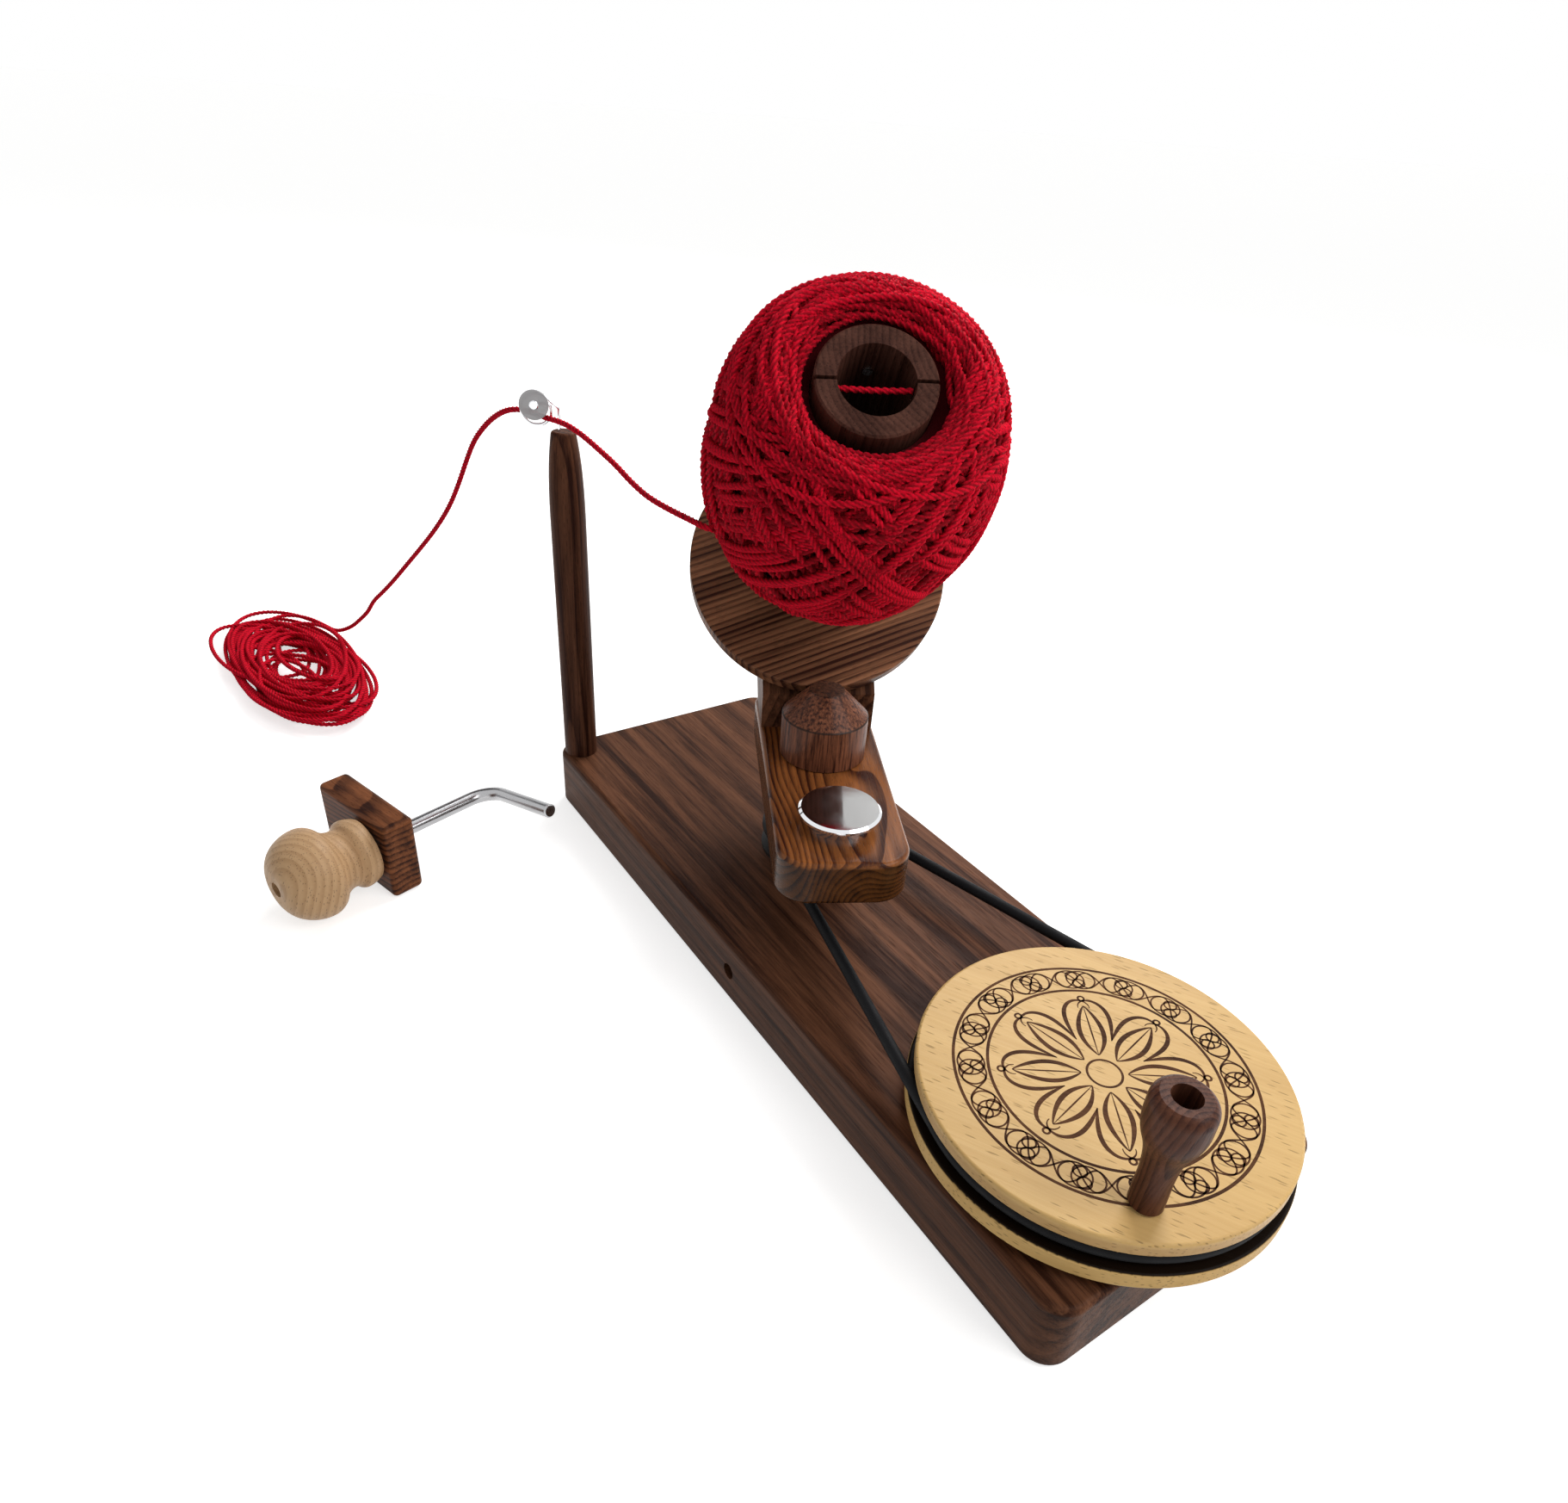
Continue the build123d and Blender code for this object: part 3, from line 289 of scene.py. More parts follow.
woods = {
    # The base's sides below its top face are darkened: painted shade.
    "base_board": makeWood("baseWalnut", **walnut, grain=(1, 0, 0), pith=(0, 0.02, -0.09), Ring_Count=150.0,
                           Ring_Strength=0.3, Streak_Strength=0.8, Fibre_Strength=0.25, Pore_Strength=0.3,
                           Pore_Length=0.08, shadeAndStain=(0.0345, 0.0325, 0.35)),
    # The arm's sides and front below its top face are darkened: painted shade, partly also the end grain's darker
    # tone.
    "flyer_arm": makeWood("armWalnut", **redWalnut, grain=armAlong, pith=(0.02, -0.01, 0.06),
                          Ring_Count=360.0, Warp=0.05, Ring_Strength=0.5, Streak_Strength=0.5,
                          Fibre_Strength=0.2, Pore_Strength=0.3,
                          rough=(0.22, 0.38), coat=0.1, shine=0.1, shadeAndStain=(0.1020, 0.0995, 0.72)),
    "flyer_upright": makeWood("uprightWalnut", **walnut, grain=(-0.61, 0.33, 0.72), pith=(0, 0.05, 0),
                              Ring_Count=240.0, Ring_Strength=0.4, Streak_Strength=0.7, Fibre_Strength=0.25,
                              Pore_Strength=0.3),
    "flange_disc": makeWood("discWalnut", light=(0.330, 0.145, 0.072), dark=(0.034, 0.010, 0.006),
                            grain=(0.211, 0.946, 0.248), pith=(0.0, 0.03, 0.093), Ring_Count=300.0,
                            Ring_Strength=0.5, Streak_Strength=0.55, Fibre_Strength=0.25, Pore_Strength=0.3,
                            coat=0.04),
    "core_tube": makeWood("coreWalnut", light=(0.120, 0.048, 0.033), dark=(0.028, 0.009, 0.006),
                          grain=alongSpindle, pith=(-0.0994, 0.0897, 0.177), Ring_Count=420.0,
                          Ring_Strength=0.3, Streak_Strength=0.5,
                          Fibre_Strength=0.3, Pore_Strength=0.5),
    # The thin dark lines at the drum's edge and at the flat top's edge are painted shade.
    "sun_cone": makeWood("coneWalnut", light=(0.270, 0.098, 0.048), dark=(0.030, 0.008, 0.005), grain=(0.02, 0, 1),
                         pith=(-0.2, 0.12, 0), Ring_Count=520.0, Ring_Strength=0.15, Streak_Count=620.0,
                         Streak_Strength=0.85, Fibre_Strength=0.2, Pore_Strength=0.35, coat=0.1, shine=0.1,
                         marks=((0.1250, 0.0006, 0.8), (0.1382, 0.0005, 0.6))),
    "guide_post": makeWood("postWalnut", light=(0.155, 0.062, 0.032), dark=(0.026, 0.008, 0.005), grain=(0, 0, 1),
                           pith=(-0.23, -0.02, 0), Ring_Count=300.0, Ring_Strength=0.4, Streak_Strength=0.6,
                           Fibre_Strength=0.3, Pore_Strength=0.3, Streak_Count=180.0),
    "crank_handle": makeWood("handleWalnut", light=(0.150, 0.056, 0.030), dark=(0.032, 0.009, 0.006),
                             grain=(0.12, 0.1, 1), pith=(0.215, -0.05, 0), Ring_Count=420.0, Ring_Strength=0.45,
                             Streak_Strength=0.4, Fibre_Strength=0.3, Pore_Strength=0.2, Warp=0.03, coat=0.05,
                             shine=0.1),
    "clamp_block": makeWood("blockWalnut", light=(0.300, 0.105, 0.042), dark=(0.030, 0.009, 0.005),
                            grain=(0.957, 0.289, 0.1), pith=(-0.17, -0.175, -0.05), Ring_Count=300.0,
                            Ring_Strength=0.45, Streak_Strength=0.6,
                            Fibre_Strength=0.2, Pore_Strength=0.3, Warp=0.02, coat=0.05),
    "clamp_knob": makeWood("knobBeech", light=(0.590, 0.375, 0.200), dark=(0.400, 0.225, 0.105),
                           grain=(0.35, 0.2, 0.9), pith=(-0.150, -0.262, 0.03), Ring_Count=260.0,
                           Ring_Strength=0.5, Streak_Strength=0.1,
                           Fibre_Strength=0.15, Pore_Strength=0.5, Pore_Length=0.25, Warp=0.01, shine=0.2),
}
beechFigure = {"Ring_Count": 25.0, "Ring_Strength": 0.12, "Streak_Strength": 0.35, "Fibre_Strength": 0.2,
               "Pore_Strength": 0.5, "Pore_Length": 0.13, "Pore_Count": 800.0}
beechGrain = {"grain": (0.87, 0.49, 0), "pith": (0.1, 0, -0.35)}
# The top disc's rim below its face is darkened: partly a darker edge tone, partly painted shade.
beechWheel = makeWood("wheelBeech", **beech, **beechGrain, rough=(0.38, 0.52), shine=0.2,
                      shadeAndStain=(0.0612, 0.0595, 0.3), deep=(0.30, 0.13, 0.04), **beechFigure)
# The bottom disc's face inside the belt groove is painted almost black: painted shade between the two discs.
beechUnderShaded = makeWood("underBeechShaded", **beech, **beechGrain, shadeAndStain=(0.0470, 0.0476, 1.0), **beechFigure)
# The core inside the belt groove is given near-black beech colours: painted shade in the groove.
shadedGrooveBeech = makeWood("shadedGrooveBeech", light=(0.045, 0.022, 0.012), dark=(0.020, 0.010, 0.006), **beechGrain,
                       rough=(0.6, 0.8), **beechFigure)

chrome = makePlain("brightChrome", (0.82, 0.83, 0.85), 0.03, 0.10, metallic=1.0, bump=0.01)[0]
rodSteel = makePlain("rodSteel", (0.44, 0.44, 0.45), 0.16, 0.30, metallic=1.0, bump=0.03)[0]
steel = makePlain("zincSteel", (0.56, 0.56, 0.55), 0.25, 0.42, metallic=1.0)[0]
brass = makePlain("satinBrass", (0.72, 0.52, 0.20), 0.25, 0.40, metallic=1.0)[0]
beltRubber = makePlain("beltRubber", (0.007, 0.007, 0.008), 0.5, 0.7, bump=0.25, shine=0.12)[0]
pulleyPlastic = makePlain("pulleyBlack", (0.015, 0.014, 0.014), 0.35, 0.5, bump=0.1, shine=0.3)[0]
plateGrey, _, plateShader = makePlain("plateGrey", (0.42, 0.42, 0.43), 0.22, 0.4, bump=0.1)
plateShader.inputs["Alpha"].default_value = 0.82
plateShader.inputs["Coat Weight"].default_value = 0.4

metalNodes = {
    "counterweight": chrome, "clamp_rod": rodSteel, "guide_wire": chrome, "guide_rivet": chrome,
    "handle_insert": brass, "clamp_insert": brass, "drive_belt": beltRubber, "arm_pulley": pulleyPlastic,
    "guide_disc": plateGrey}
woods.update({"wheel_top_disc": beechWheel, "wheel_bottom_disc": beechUnderShaded, "wheel_core": shadedGrooveBeech})
for name, node in cad.items():
    node.data.materials.clear()
    node.data.materials.append(woods.get(name) or metalNodes.get(name) or steel)
print("finishes on the CAD pieces")


# The tubes carry a painted shade value: high on the back of each twisted strand, low in the groove between two
# plies and under crossings, where the colour goes to the darker one.
def makeYarn(name, colour, shade):
    material, tree, shader, place = startMaterial(name)
    plyShade = addNode(tree, "ShaderNodeAttribute", attribute_name="plyShade").outputs["Fac"]
    tuft = noiseOf(tree, place, 420.0, 3.0, 0.6)
    fuzz = noiseOf(tree, place, 2600.0, 3.0, 0.7)
    tufted = mathOf(tree, "MULTIPLY", mathOf(tree, "SUBTRACT", tuft, 0.5), 0.9)
    share = rampOf(tree, mathOf(tree, "ADD", plyShade, tufted), 0.12, 0.95)
    tree.links.new(mixColours(tree, share, (*shade, 1), (*colour, 1)), shader.inputs["Base Color"])
    shader.inputs["Roughness"].default_value = 0.8
    shader.inputs["Specular IOR Level"].default_value = 0.12
    shader.inputs["Sheen Weight"].default_value = 0.12
    shader.inputs["Sheen Roughness"].default_value = 0.35
    shader.inputs["Sheen Tint"].default_value = (1.0, 0.12, 0.16, 1)
    addBump(tree, shader, fuzz, 0.6, 0.0004)
    return material


yarnRed = makeYarn("woolRed", (0.950, 0.003, 0.030), (0.210, 0.001, 0.006))
# A darker copy of the same wool: painted shade for the yarn that lies beneath the outer turns.
yarnShaded = makeYarn("woolShaded", (0.420, 0.001, 0.012), (0.080, 0.001, 0.003))
yarn = {"width": 3.3 * mm, "groove": 0.74, "pitch": 9.5 * mm, "plies": 3, "step": 1.2 * mm}


# Rows of x, y, z and anything more, at even steps along the line.
def evenly(line, step):
    line = np.asarray(line, float)
    run = np.concatenate([[0.0], np.cumsum(np.linalg.norm(np.diff(line[:, :3], axis=0), axis=1))])
    count = max(2, int(round(run[-1] / step)))
    marks = np.linspace(0.0, run[-1], count + 1)
    return np.stack([np.interp(marks, run, column) for column in line.T], axis=1)


# A tube of three plies laid round a line: every second corner of its section lies in a groove.
def twistedTube(line, width, step):
    rows = evenly(line, step)
    line = rows[:, :3]
    # A fourth column, when given, is the painted shade of strands that pass under others.
    lift = rows[:, 3] if rows.shape[1] > 3 else np.ones(len(rows))
    ahead = np.gradient(line, axis=0)
    ahead /= np.linalg.norm(ahead, axis=1)[:, None]
    side = np.cross(ahead[0], (0.3, 0.1, 1.0))
    sideways = np.empty_like(line)
    for index, direction in enumerate(ahead):
        side = side - direction * (side @ direction)
        side = side / math.sqrt(side @ side)
        sideways[index] = side
    upward = np.cross(ahead, sideways)
    corners = 2 * yarn["plies"]
    around = np.arange(corners) * 2 * math.pi / corners
    spin = np.arange(len(line)) * (2 * math.pi * step / yarn["pitch"])
    bulge = width / 2 * np.where(np.arange(corners) % 2 == 0, 1.0, yarn["groove"])
    angle = around[None, :] + spin[:, None]
    verts = (line[:, None, :] + sideways[:, None, :] * (np.cos(angle) * bulge)[:, :, None]
             + upward[:, None, :] * (np.sin(angle) * bulge)[:, :, None]).reshape(-1, 3)
    ring = np.arange(corners)
    first = (np.arange(len(line) - 1) * corners)[:, None]
    after = (ring + 1) % corners
    faces = np.stack([first + ring, first + after, first + corners + after, first + corners + ring], axis=2)
    # Painted shade: the grooves between plies and strands under crossings take the darker colour.
    plyShade = lift[:, None] * np.where(np.arange(corners) % 2 == 0, 1.0, 0.25)
    return verts, faces.reshape(-1, 4), line, plyShade.ravel()


def yarnPiece(name, line, width, step, material, body, *stoodFor):
    verts, faces, rings, plyShade = twistedTube(line, width, step)
    piece = meshObject(name, verts, faces)
    piece.data.attributes.new("plyShade", "FLOAT", "POINT").data.foreach_set("value", plyShade.astype(np.float32))
    piece.data.materials.append(material)
    closeEnds(piece)
    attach(piece, body)
    if stoodFor:
        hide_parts(*stoodFor)
    return piece, rings


def closeEnds(piece):
    clearSelection()
    piece.select_set(True)
    bpy.context.view_layer.objects.active = piece
    bpy.ops.object.mode_set(mode="EDIT")
    bpy.ops.mesh.select_all(action="DESELECT")
    bpy.ops.mesh.select_non_manifold()
    bpy.ops.mesh.fill_holes(sides=0)
    bpy.ops.object.mode_set(mode="OBJECT")
    clearSelection()


def smoothCurve(name, points):
    curve = bpy.data.curves.new(name, "CURVE")
    curve.dimensions = "3D"
    curve.resolution_u = 16
    spline = curve.splines.new("NURBS")
    spline.points.add(len(points) - 1)
    for point, place in zip(spline.points, points):
        point.co = (*place, 1)
    spline.order_u = 3
    spline.use_endpoint_u = True
    thing = bpy.data.objects.new(name, curve)
    bpy.context.scene.collection.objects.link(thing)
    return thing


def curveLine(thing):
    mesh = bpy.data.meshes.new_from_object(thing)
    line = [vert.co.copy() for vert in mesh.vertices]
    bpy.data.meshes.remove(mesh)
    bpy.data.objects.remove(thing)
    return line


# The free strand's points are the CAD source's, from beside the package to the hank.
strandPoints = [
    (-80.3, -60.0, 220.9), (-104.0, -62.2, 220.4), (-122.0, -64.0, 223.6),
    (-139.0, -65.1, 228.6), (-155.0, -66.4, 231.8), (-169.0, -67.4, 234.3),
    (-181.5, -69.2, 236.2), (-191.9, -70.7, 236.2), (-200.8, -71.3, 235.3),
    (-205.5, -73.8, 235.6), (-209.8, -77.7, 237.0), (-216.2, -81.6, 237.5),
    (-226.5, -85.0, 235.0), (-241.0, -87.0, 228.3), (-256.0, -88.2, 219.5),
    (-270.5, -89.8, 208.5), (-284.0, -91.0, 194.0), (-297.0, -92.8, 177.5),
    (-312.0, -95.5, 159.5), (-331.0, -99.5, 141.0), (-351.0, -104.0, 123.5),
    (-375.0, -110.0, 103.0), (-397.0, -115.5, 84.0), (-416.0, -120.5, 68.5),
    (-431.0, -124.5, 57.0), (-442.0, -127.0, 45.0), (-454.0, -130.0, 35.5),
    (-469.0, -135.7, 23.0)]
hank = {"centre": (-447, -182), "halfLength": (106, 38), "halfWidth": (44, 22), "turn": 6, "height": 13.2,
        "extra": 4.5, "loops": 42, "first": 120, "stops": 16}


def easeIn(value):
    held = min(max(value, 0.0), 1.0)
    return held * held * (3 - 2 * held)


def drift(turns, rate, start):
    return 0.6 * math.sin(rate * turns + start) + 0.4 * math.sin(2.37 * rate * turns + 2.1 * start)


# Loose oval loops of many sizes, which wander over and under one another in a heap.
def hankPoint(turns):
    calm = easeIn(turns / 1.2)
    small = calm * (0.5 + 0.5 * drift(turns, 1.13, 0.4)) ** 0.8
    length = hank["halfLength"][0] + (hank["halfLength"][1] - hank["halfLength"][0]) * small
    width = hank["halfWidth"][0] + (hank["halfWidth"][1] - hank["halfWidth"][0]) * small
    shiftX = calm * (2 + 42 * small) * drift(turns, 0.71, 1.9)
    shiftY = calm * (1 + 17 * small) * drift(turns, 1.37, 0.2)
    angle = 2 * math.pi * turns + math.radians(hank["first"])
    crimp = calm * (1 - 0.6 * small) * (1.5 * math.sin(2.31 * angle) + 0.8 * math.sin(3.77 * angle + 1))
    x = (length - 5 * calm + crimp) * math.cos(angle) + shiftX
    y = (width - 3 * calm + 0.6 * crimp) * math.sin(angle) + shiftY
    turn = math.radians(hank["turn"] + calm * (2 + 22 * small) * drift(turns, 0.57, 2.6))
    height = 1 - calm * (0.5 + 0.5 * drift(turns, 1.61, 1.1)) * (0.85 + 0.15 * math.sin(3 * angle))
    level = 1.7 + (hank["height"] - 1.3 + calm * hank["extra"] * (0.3 + 0.7 * small)) * height
    return (hank["centre"][0] + x * math.cos(turn) - y * math.sin(turn),
            hank["centre"][1] + x * math.sin(turn) + y * math.cos(turn), level)


def strandRoute():
    start, nearby = Vector(hankPoint(0)), Vector(hankPoint(0.001))
    ahead = (nearby - start).normalized()
    landing = start - ahead * 3.2
    loops = [hankPoint(step / hank["stops"]) for step in range(hank["loops"] * hank["stops"] + 1)]
    points = strandPoints + [tuple(landing - ahead * 15), tuple(landing)] + loops
    return [Vector(point) * mm for point in points]


def makeStrand():
    route = strandRoute()
    line = curveLine(smoothCurve("strandRoute", route))
    strand, rings = yarnPiece("yarnStrand", line, yarn["width"], yarn["step"], yarnRed, "base",
                              "yarn_strand", "yarn_hank")


makeStrand()

package = {
    "profile": [(33, 25), (33, 31), (36, 38), (42, 45), (50, 52), (62, 58.5), (80, 63), (100, 64), (120, 62.5),
                (136, 59.5), (148, 54.5), (156, 48.5), (161, 42), (161.5, 36), (159, 30.5), (155.5, 26.5)],
    "layers": ((-6.6, 3.1, 11, 17.3), (-4.6, 9.4, 12, 15.6), (-2.6, 5.3, 13, 18.7)), "turns": 58, "over": 1.05,
    "collars": ((0.94, 0.05, 8, -1.9, 21), (0.84, 0.09, 8, -1.5, 22), (0.05, 0.045, 7, -2.2, 23)),
    "step": 1.35 * mm, "layerStops": 240, "collarStops": 200}


def surfaceTable():
    points = np.array(package["profile"], float)
    run = np.concatenate([[0], np.cumsum(np.linalg.norm(np.diff(points, axis=0), axis=1))])
    marks = np.linspace(0, run[-1], 400)
    smooth = np.stack([np.interp(marks, run, points[:, axis]) for axis in (0, 1)], axis=1)
    kernel = np.ones(21) / 21
    padded = np.concatenate([np.repeat(smooth[:1], 10, 0), smooth, np.repeat(smooth[-1:], 10, 0)])
    smooth = np.stack([np.convolve(padded[:, axis], kernel, "valid") for axis in (0, 1)], axis=1)
    slope = np.gradient(smooth, axis=0)
    slope /= np.linalg.norm(slope, axis=1)[:, None]
    outward = np.stack([-slope[:, 1], slope[:, 0]], axis=1)
    return smooth, outward


packageSide, packageOut = surfaceTable()


def slowNoise(dice, count, waves, spread):
    value = np.zeros(count)
    turns = np.linspace(0, 1, count)
    for _ in range(waves):
        rate = dice.uniform(0.4, 1.0) * spread
        value += dice.uniform(0.5, 1.0) * np.sin(2 * math.pi * (rate * turns + dice.random()))
    return value / waves


def toPackage(along, radius, angle):
    frameTurn = Matrix.Rotation(armHeading, 3, "Z") @ Matrix.Rotation(spindleTilt, 3, "Y")
    local = np.stack([radius * np.cos(angle), radius * np.sin(angle), along], axis=1) * mm
    return local @ np.array(frameTurn).T + np.array(flangeCentre)


def onPackage(share, offset, angle):
    rows = np.arange(len(packageSide))
    index = np.clip(share, 0.0, 1.0) * (len(packageSide) - 1)
    along, radius = (np.interp(index, rows, packageSide[:, axis]) for axis in (0, 1))
    outAlong, outRadius = (np.interp(index, rows, packageOut[:, axis]) for axis in (0, 1))
    return toPackage(along + outAlong * offset, radius + outRadius * offset, angle)


# Adds the painted shade value: strands that pass under others, or sink below the surface, get a darker colour.
def withCrossingShade(line, height):
    lift = np.clip(0.72 + 0.28 * height, 0.3, 1.0)
    return np.concatenate([line, lift[:, None]], axis=1)


# One layer of tilted loops; in some patches the rising strands lie over the falling ones.
def windLayer(depth, start, seed, cycle):
    dice = random.Random(seed)
    turns = package["turns"]
    count = turns * package["layerStops"]
    turn = np.linspace(0, turns, count)
    reach = np.clip(0.90 + 0.20 * slowNoise(dice, count, 5, turns * 0.9), 0.6, 1.0)
    shift = 0.05 * slowNoise(dice, count, 4, turns * 0.6)
    swing = 2 * math.pi * (turn * (1 + 1 / cycle) + 0.05 * slowNoise(dice, count, 4, turns * 0.8)) + start
    share = 0.5 + 0.5 * (reach * np.cos(swing) + shift)
    angle = 2 * math.pi * turn
    patch = np.tanh(2.0 * (np.sin(3 * angle + 9 * share + start) + np.sin(4 * angle - 14 * share + 2 * start)))
    rising = np.tanh(-3.0 * np.sin(swing))
    crossing = rising * patch + 0.35 * slowNoise(dice, count, 4, turns * 3.0)
    return withCrossingShade(onPackage(share, depth + package["over"] * crossing, angle), crossing)


# Turns that lie nearly level round the nose, the shoulder or the foot.
def windCollar(middle, swing, turns, depth, seed):
    dice = random.Random(seed)
    count = turns * package["collarStops"]
    turn = np.linspace(0, turns, count)
    wander = 0.9 * slowNoise(dice, count, 4, turns * 0.7)
    share = middle + swing * (0.75 * np.cos(2 * math.pi * turn * 1.13 + seed) + wander)
    rise = 2.2 * slowNoise(dice, count, 5, turns * 1.7)
    return withCrossingShade(onPackage(share, depth + rise, 2 * math.pi * turn), rise)


def makePackage():
    for index, layer in enumerate(package["layers"]):
        line = windLayer(*layer)
        cut = len(line) // 2
        for half, stretch in enumerate((line[:cut + 2], line[cut:])):
            name = f"woundYarn{2 * index + half + 1}"
            # The lowest layer takes the darker copy of the wool: painted shade.
            finish = yarnRed if index else yarnShaded
            yarnPiece(name, stretch, yarn["width"], package["step"], finish, "core")[0]
    for index, collar in enumerate(package["collars"]):
        line = windCollar(*collar)
        yarnPiece(f"yarnCollar{index + 1}", line, yarn["width"], package["step"], yarnRed, "core")
    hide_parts("yarn_package")
    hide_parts("yarn_winding")


makePackage()


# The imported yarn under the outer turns, in mm: a closed form turned round the spindle.
heart = {"below": 6.4, "bore": 24.2, "foot": 33, "nose": 148, "skip": 14, "around": 96}


def makeHeart():
    side = packageSide - packageOut * heart["below"]
    outline = [(side[i][1], side[i][0]) for i in range(0, len(side), heart["skip"])]
    outline = [(heart["bore"], heart["foot"])] + outline + [(heart["bore"], heart["nose"])]
    around = heart["around"]
    turn = np.arange(around) * 2 * math.pi / around
    verts = np.concatenate([toPackage(np.full(around, along), np.full(around, max(radius, heart["bore"])), turn)
                            for radius, along in outline])
    faces = []
    for row in range(len(outline)):
        after = (row + 1) % len(outline)
        for step in range(around):
            ahead = (step + 1) % around
            faces.append((row * around + step, row * around + ahead, after * around + ahead,
                          after * around + step))
    piece = meshObject("packedYarn", verts, faces)
    # The yarn beneath the outer turns takes the darker copy of the wool: painted shade.
    piece.data.materials.append(yarnShaded)
    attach(piece, "core")


makeHeart()


# The yarn's start across the slots of the core, and the short end that leaves the package.
looseEnds = {"along": 0.1535, "half": 14.8 * mm, "sag": 0.6 * mm, "width": 2.8 * mm}


def makeLooseEnds():
    across = Vector((math.sin(-armHeading), math.cos(-armHeading), 0))
    middle = flangeCentre + alongSpindle * looseEnds["along"]
    start = [middle + across * (half * looseEnds["half"]) + alongSpindle * (-looseEnds["sag"] * (1 - half * half))
             for half in np.linspace(-1, 1, 15)]
    yarnPiece("yarnBeginning", start, looseEnds["width"], yarn["step"], yarnRed, "core", "yarn_start")
    tail = [(-60.5, -56.5, 221.0), (-64.1, -59.0, 221.3), (-71.5, -59.4, 221.2), (-79.9, -59.96, 220.91)]
    line = curveLine(smoothCurve("tailRoute", [Vector(point) * mm for point in tail]))
    yarnPiece("yarnTail", line, yarn["width"], yarn["step"], yarnRed, "core", "yarn_tail")


makeLooseEnds()
print("yarn finished")


engraving = {"outer": 60.0, "inner": 46.3, "line": 1.25, "thin": 0.72, "units": 16, "leaves": 8, "lift": 0.03,
             "depth": 0.05, "leafStart": 9.5, "leafLength": 27.5, "hub": 7.0, "scrollStart": 19, "bud": 41.5}


def strokeFaces(points, widths, verts, faces):
    points = np.asarray(points, float)
    along = np.gradient(points, axis=0)
    along /= np.linalg.norm(along, axis=1)[:, None] + 1e-9
    side = np.stack([-along[:, 1], along[:, 0]], axis=1) * (np.asarray(widths, float) / 2)[:, None]
    first = len(verts)
    for left, right in zip(points + side, points - side):
        verts.append((left[0], left[1]))
        verts.append((right[0], right[1]))
    for index in range(len(points) - 1):
        one = first + 2 * index
        faces.append((one, one + 1, one + 3, one + 2))


def ringStroke(radius, wave, count, shift, width, verts, faces):
    angle = np.linspace(0, 2 * math.pi, 721)
    reach = radius + wave * np.sin(count * angle + shift)
    points = np.stack([reach * np.cos(angle), reach * np.sin(angle)], axis=1)
    strokeFaces(points, [width] * len(points), verts, faces)


# An oval given by its place in the band: distance from the wheel's middle, angle, and two half sizes.
def ovalStroke(distance, place, tall, wide, width, verts, faces):
    angle = np.linspace(0, 2 * math.pi, 49)
    reach = distance + tall * np.cos(angle)
    turn = place + wide * np.sin(angle) / distance
    points = np.stack([reach * np.cos(turn), reach * np.sin(turn)], axis=1)
    strokeFaces(points, [width] * len(points), verts, faces)


# A stroke that swells and tapers along an arc that winds up into a curl.
def scrollStroke(start, heading, length, bendStart, bendEnd, width, verts, faces):
    steps = 70
    place, points, widths = np.array(start, float), [], []
    for step in range(steps + 1):
        share = step / steps
        points.append(place.copy())
        widths.append(width * (0.2 + 0.8 * math.sin(math.pi * share ** 0.8) ** 1.2))
        heading += math.radians(bendStart + (bendEnd - bendStart) * share ** 2) * length / steps
        place = place + np.array((math.cos(heading), math.sin(heading))) * (length / steps)
    strokeFaces(points, widths, verts, faces)


def leafStroke(base, bulge, width, verts, faces):
    share = np.linspace(0, 1, 41)
    reach = engraving["leafStart"] + engraving["leafLength"] * share
    side = bulge * np.sin(math.pi * share) ** 0.8 * (1 - 0.35 * share)
    turn = base + side / (reach + 6)
    points = np.stack([reach * np.cos(turn), reach * np.sin(turn)], axis=1)
    strokeFaces(points, width * (0.3 + np.sin(math.pi * share) ** 0.9), verts, faces)


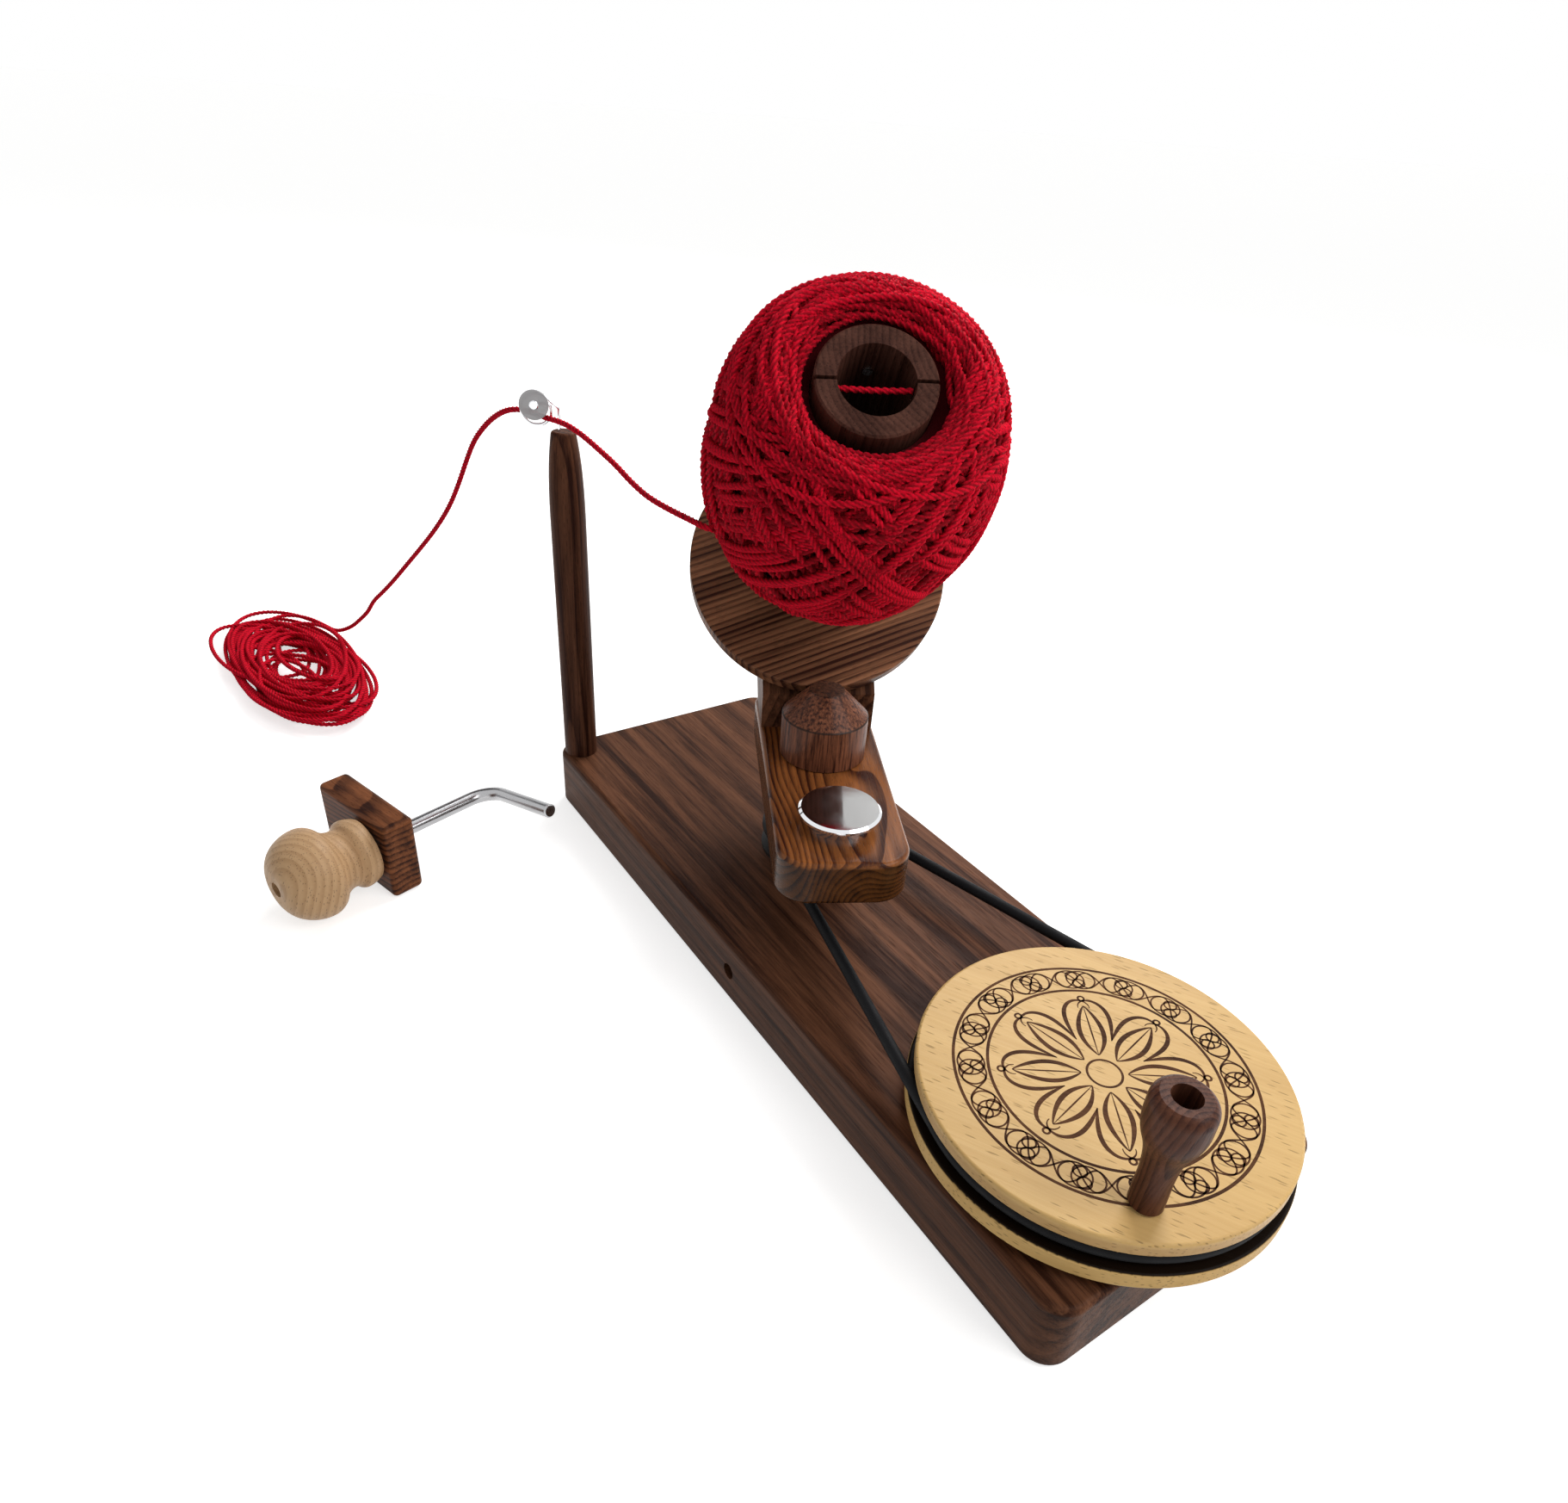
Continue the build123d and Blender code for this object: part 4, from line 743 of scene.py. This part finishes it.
def makeEngraving():
    verts, faces = [], []
    band = (engraving["outer"] + engraving["inner"]) / 2
    line, thin, units = engraving["line"], engraving["thin"], engraving["units"]
    for radius, width in ((engraving["outer"], line), (engraving["inner"], line),
                          (engraving["hub"], 0.8 * line)):
        ringStroke(radius, 0, 1, 0, width, verts, faces)
    for shift in (0, math.pi):
        ringStroke(band, 4.7, units, shift, thin, verts, faces)
    for unit in range(units):
        angle = 2 * math.pi * (unit + 0.5) / units
        for side in (-1, 1):
            ovalStroke(band, angle + side * 0.045, 5.4, 6.2, thin, verts, faces)
            ovalStroke(band + side * 2.2, angle + side * 0.022, 2.5, 2.6, thin, verts, faces)
    for leaf in range(engraving["leaves"]):
        base = 2 * math.pi * leaf / engraving["leaves"] + 0.2
        for side in (-1, 1):
            leafStroke(base, side * 7.5, 1.6, verts, faces)
            between = base + math.pi / engraving["leaves"]
            spot = np.array((math.cos(between), math.sin(between))) * engraving["scrollStart"]
            scrollStroke(spot, between + side * 0.12, 34, side * 0.5, side * 17.0, 1.9, verts, faces)
        leafStroke(base, 0, 0.55, verts, faces)
        ovalStroke(engraving["bud"], base, 1.3, 1.3, 0.9, verts, faces)
    level = wheelTop + engraving["lift"] * mm
    placed = [(wheelCentre.x + x * mm, wheelCentre.y + y * mm, level) for x, y in verts]
    lines = meshObject("wheelEngraving", placed, faces, smooth=False)
    clearSelection()
    lines.select_set(True)
    bpy.context.view_layer.objects.active = lines
    thicken = lines.modifiers.new("cut", "SOLIDIFY")
    thicken.thickness = engraving["depth"] * mm
    thicken.offset = -1
    bpy.ops.object.modifier_apply(modifier="cut")
    burnt = makeWood("burntLine", light=(0.120, 0.048, 0.018), dark=(0.040, 0.015, 0.006),
                     grain=(0.79, 0.61, 0), pith=(0.1, 0, -0.35), rough=(0.6, 0.8), shine=0.1,
                     Streak_Strength=0.5, Pore_Strength=0.2)
    lines.data.materials.append(burnt)
    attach(lines, "wheel")
    clearSelection()


makeEngraving()
print("wheel engraved")


stage = {"floor": (0.80, 0.80, 0.79), "floorGlow": 0.66, "world": 0.38, "key": 24.0, "fill": 11.0}


def makeFloor():
    clearSelection()
    bpy.ops.mesh.primitive_plane_add(size=80, location=(0, 0, -0.0002))
    floor = bpy.context.object
    floor.name = "studioFloor"
    material, tree, shader, _ = startMaterial("floorPale")
    shader.inputs["Base Color"].default_value = (*stage["floor"], 1)
    shader.inputs["Roughness"].default_value = 0.9
    shader.inputs["Specular IOR Level"].default_value = 0.1
    shader.inputs["Emission Color"].default_value = (1, 1, 1, 1)
    rays = tree.nodes.new("ShaderNodeLightPath").outputs
    seen = mathOf(tree, "MAXIMUM", rays["Is Camera Ray"], rays["Is Glossy Ray"])
    seen = mathOf(tree, "MAXIMUM", seen, rays["Is Transmission Ray"])
    tree.links.new(mathOf(tree, "MULTIPLY", seen, stage["floorGlow"]), shader.inputs["Emission Strength"])
    floor.data.materials.append(material)


def makeWorld():
    world = bpy.data.worlds.new("studio")
    bpy.context.scene.world = world
    world.use_nodes = True
    tree = world.node_tree
    tree.nodes.clear()
    rays = tree.nodes.new("ShaderNodeLightPath").outputs
    seen = mathOf(tree, "MAXIMUM", rays["Is Camera Ray"], rays["Is Transmission Ray"])
    seen = mathOf(tree, "MAXIMUM", seen, rays["Is Glossy Ray"])
    strength = addNode(tree, "ShaderNodeMapRange", {"Value": seen, "To Min": stage["world"],
                       "To Max": 1.0}).outputs[0]
    glow = addNode(tree, "ShaderNodeBackground", {"Color": (1, 1, 1, 1), "Strength": strength})
    out = tree.nodes.new("ShaderNodeOutputWorld")
    tree.links.new(glow.outputs[0], out.inputs["Surface"])


def addLamp(name, place, target, size, power):
    bpy.ops.object.light_add(type="AREA", location=place)
    lamp = bpy.context.object
    lamp.name = name
    lamp.data.size = size
    lamp.data.energy = power
    lamp.rotation_euler = (Vector(target) - Vector(place)).to_track_quat("-Z", "Y").to_euler()


# Boards that only the polished surfaces see.
def addBoard(name, place, target, size, colour):
    bpy.ops.mesh.primitive_plane_add(size=1, location=place)
    board = bpy.context.object
    board.name = name
    board.scale = (*size, 1)
    board.rotation_euler = (Vector(target) - Vector(place)).to_track_quat("-Z", "Y").to_euler()
    board.visible_camera = board.visible_diffuse = board.visible_shadow = board.visible_transmission = False
    board.data.materials.append(makePlain(name + "Card", colour, 0.8, 0.9)[0])


makeFloor()
makeWorld()
addBoard("darkBoard", (-0.75, -0.10, 0.62), (0.01, -0.03, 0.11), (0.55, 0.6), (0.01, 0.01, 0.012))
addBoard("greyBoard", (-0.55, 0.72, 0.72), (0.01, -0.03, 0.11), (0.9, 0.9), (0.75, 0.74, 0.72))
addLamp("keyWindow", (-0.7, 1.1, 1.4), (0, 0, 0.1), 1.0, stage["key"])
addLamp("sideFill", (0.95, 0.55, 1.1), (-0.05, 0, 0.15), 1.0, stage["fill"])
bpy.context.scene.view_settings.view_transform = "Standard"
print("stage lit")
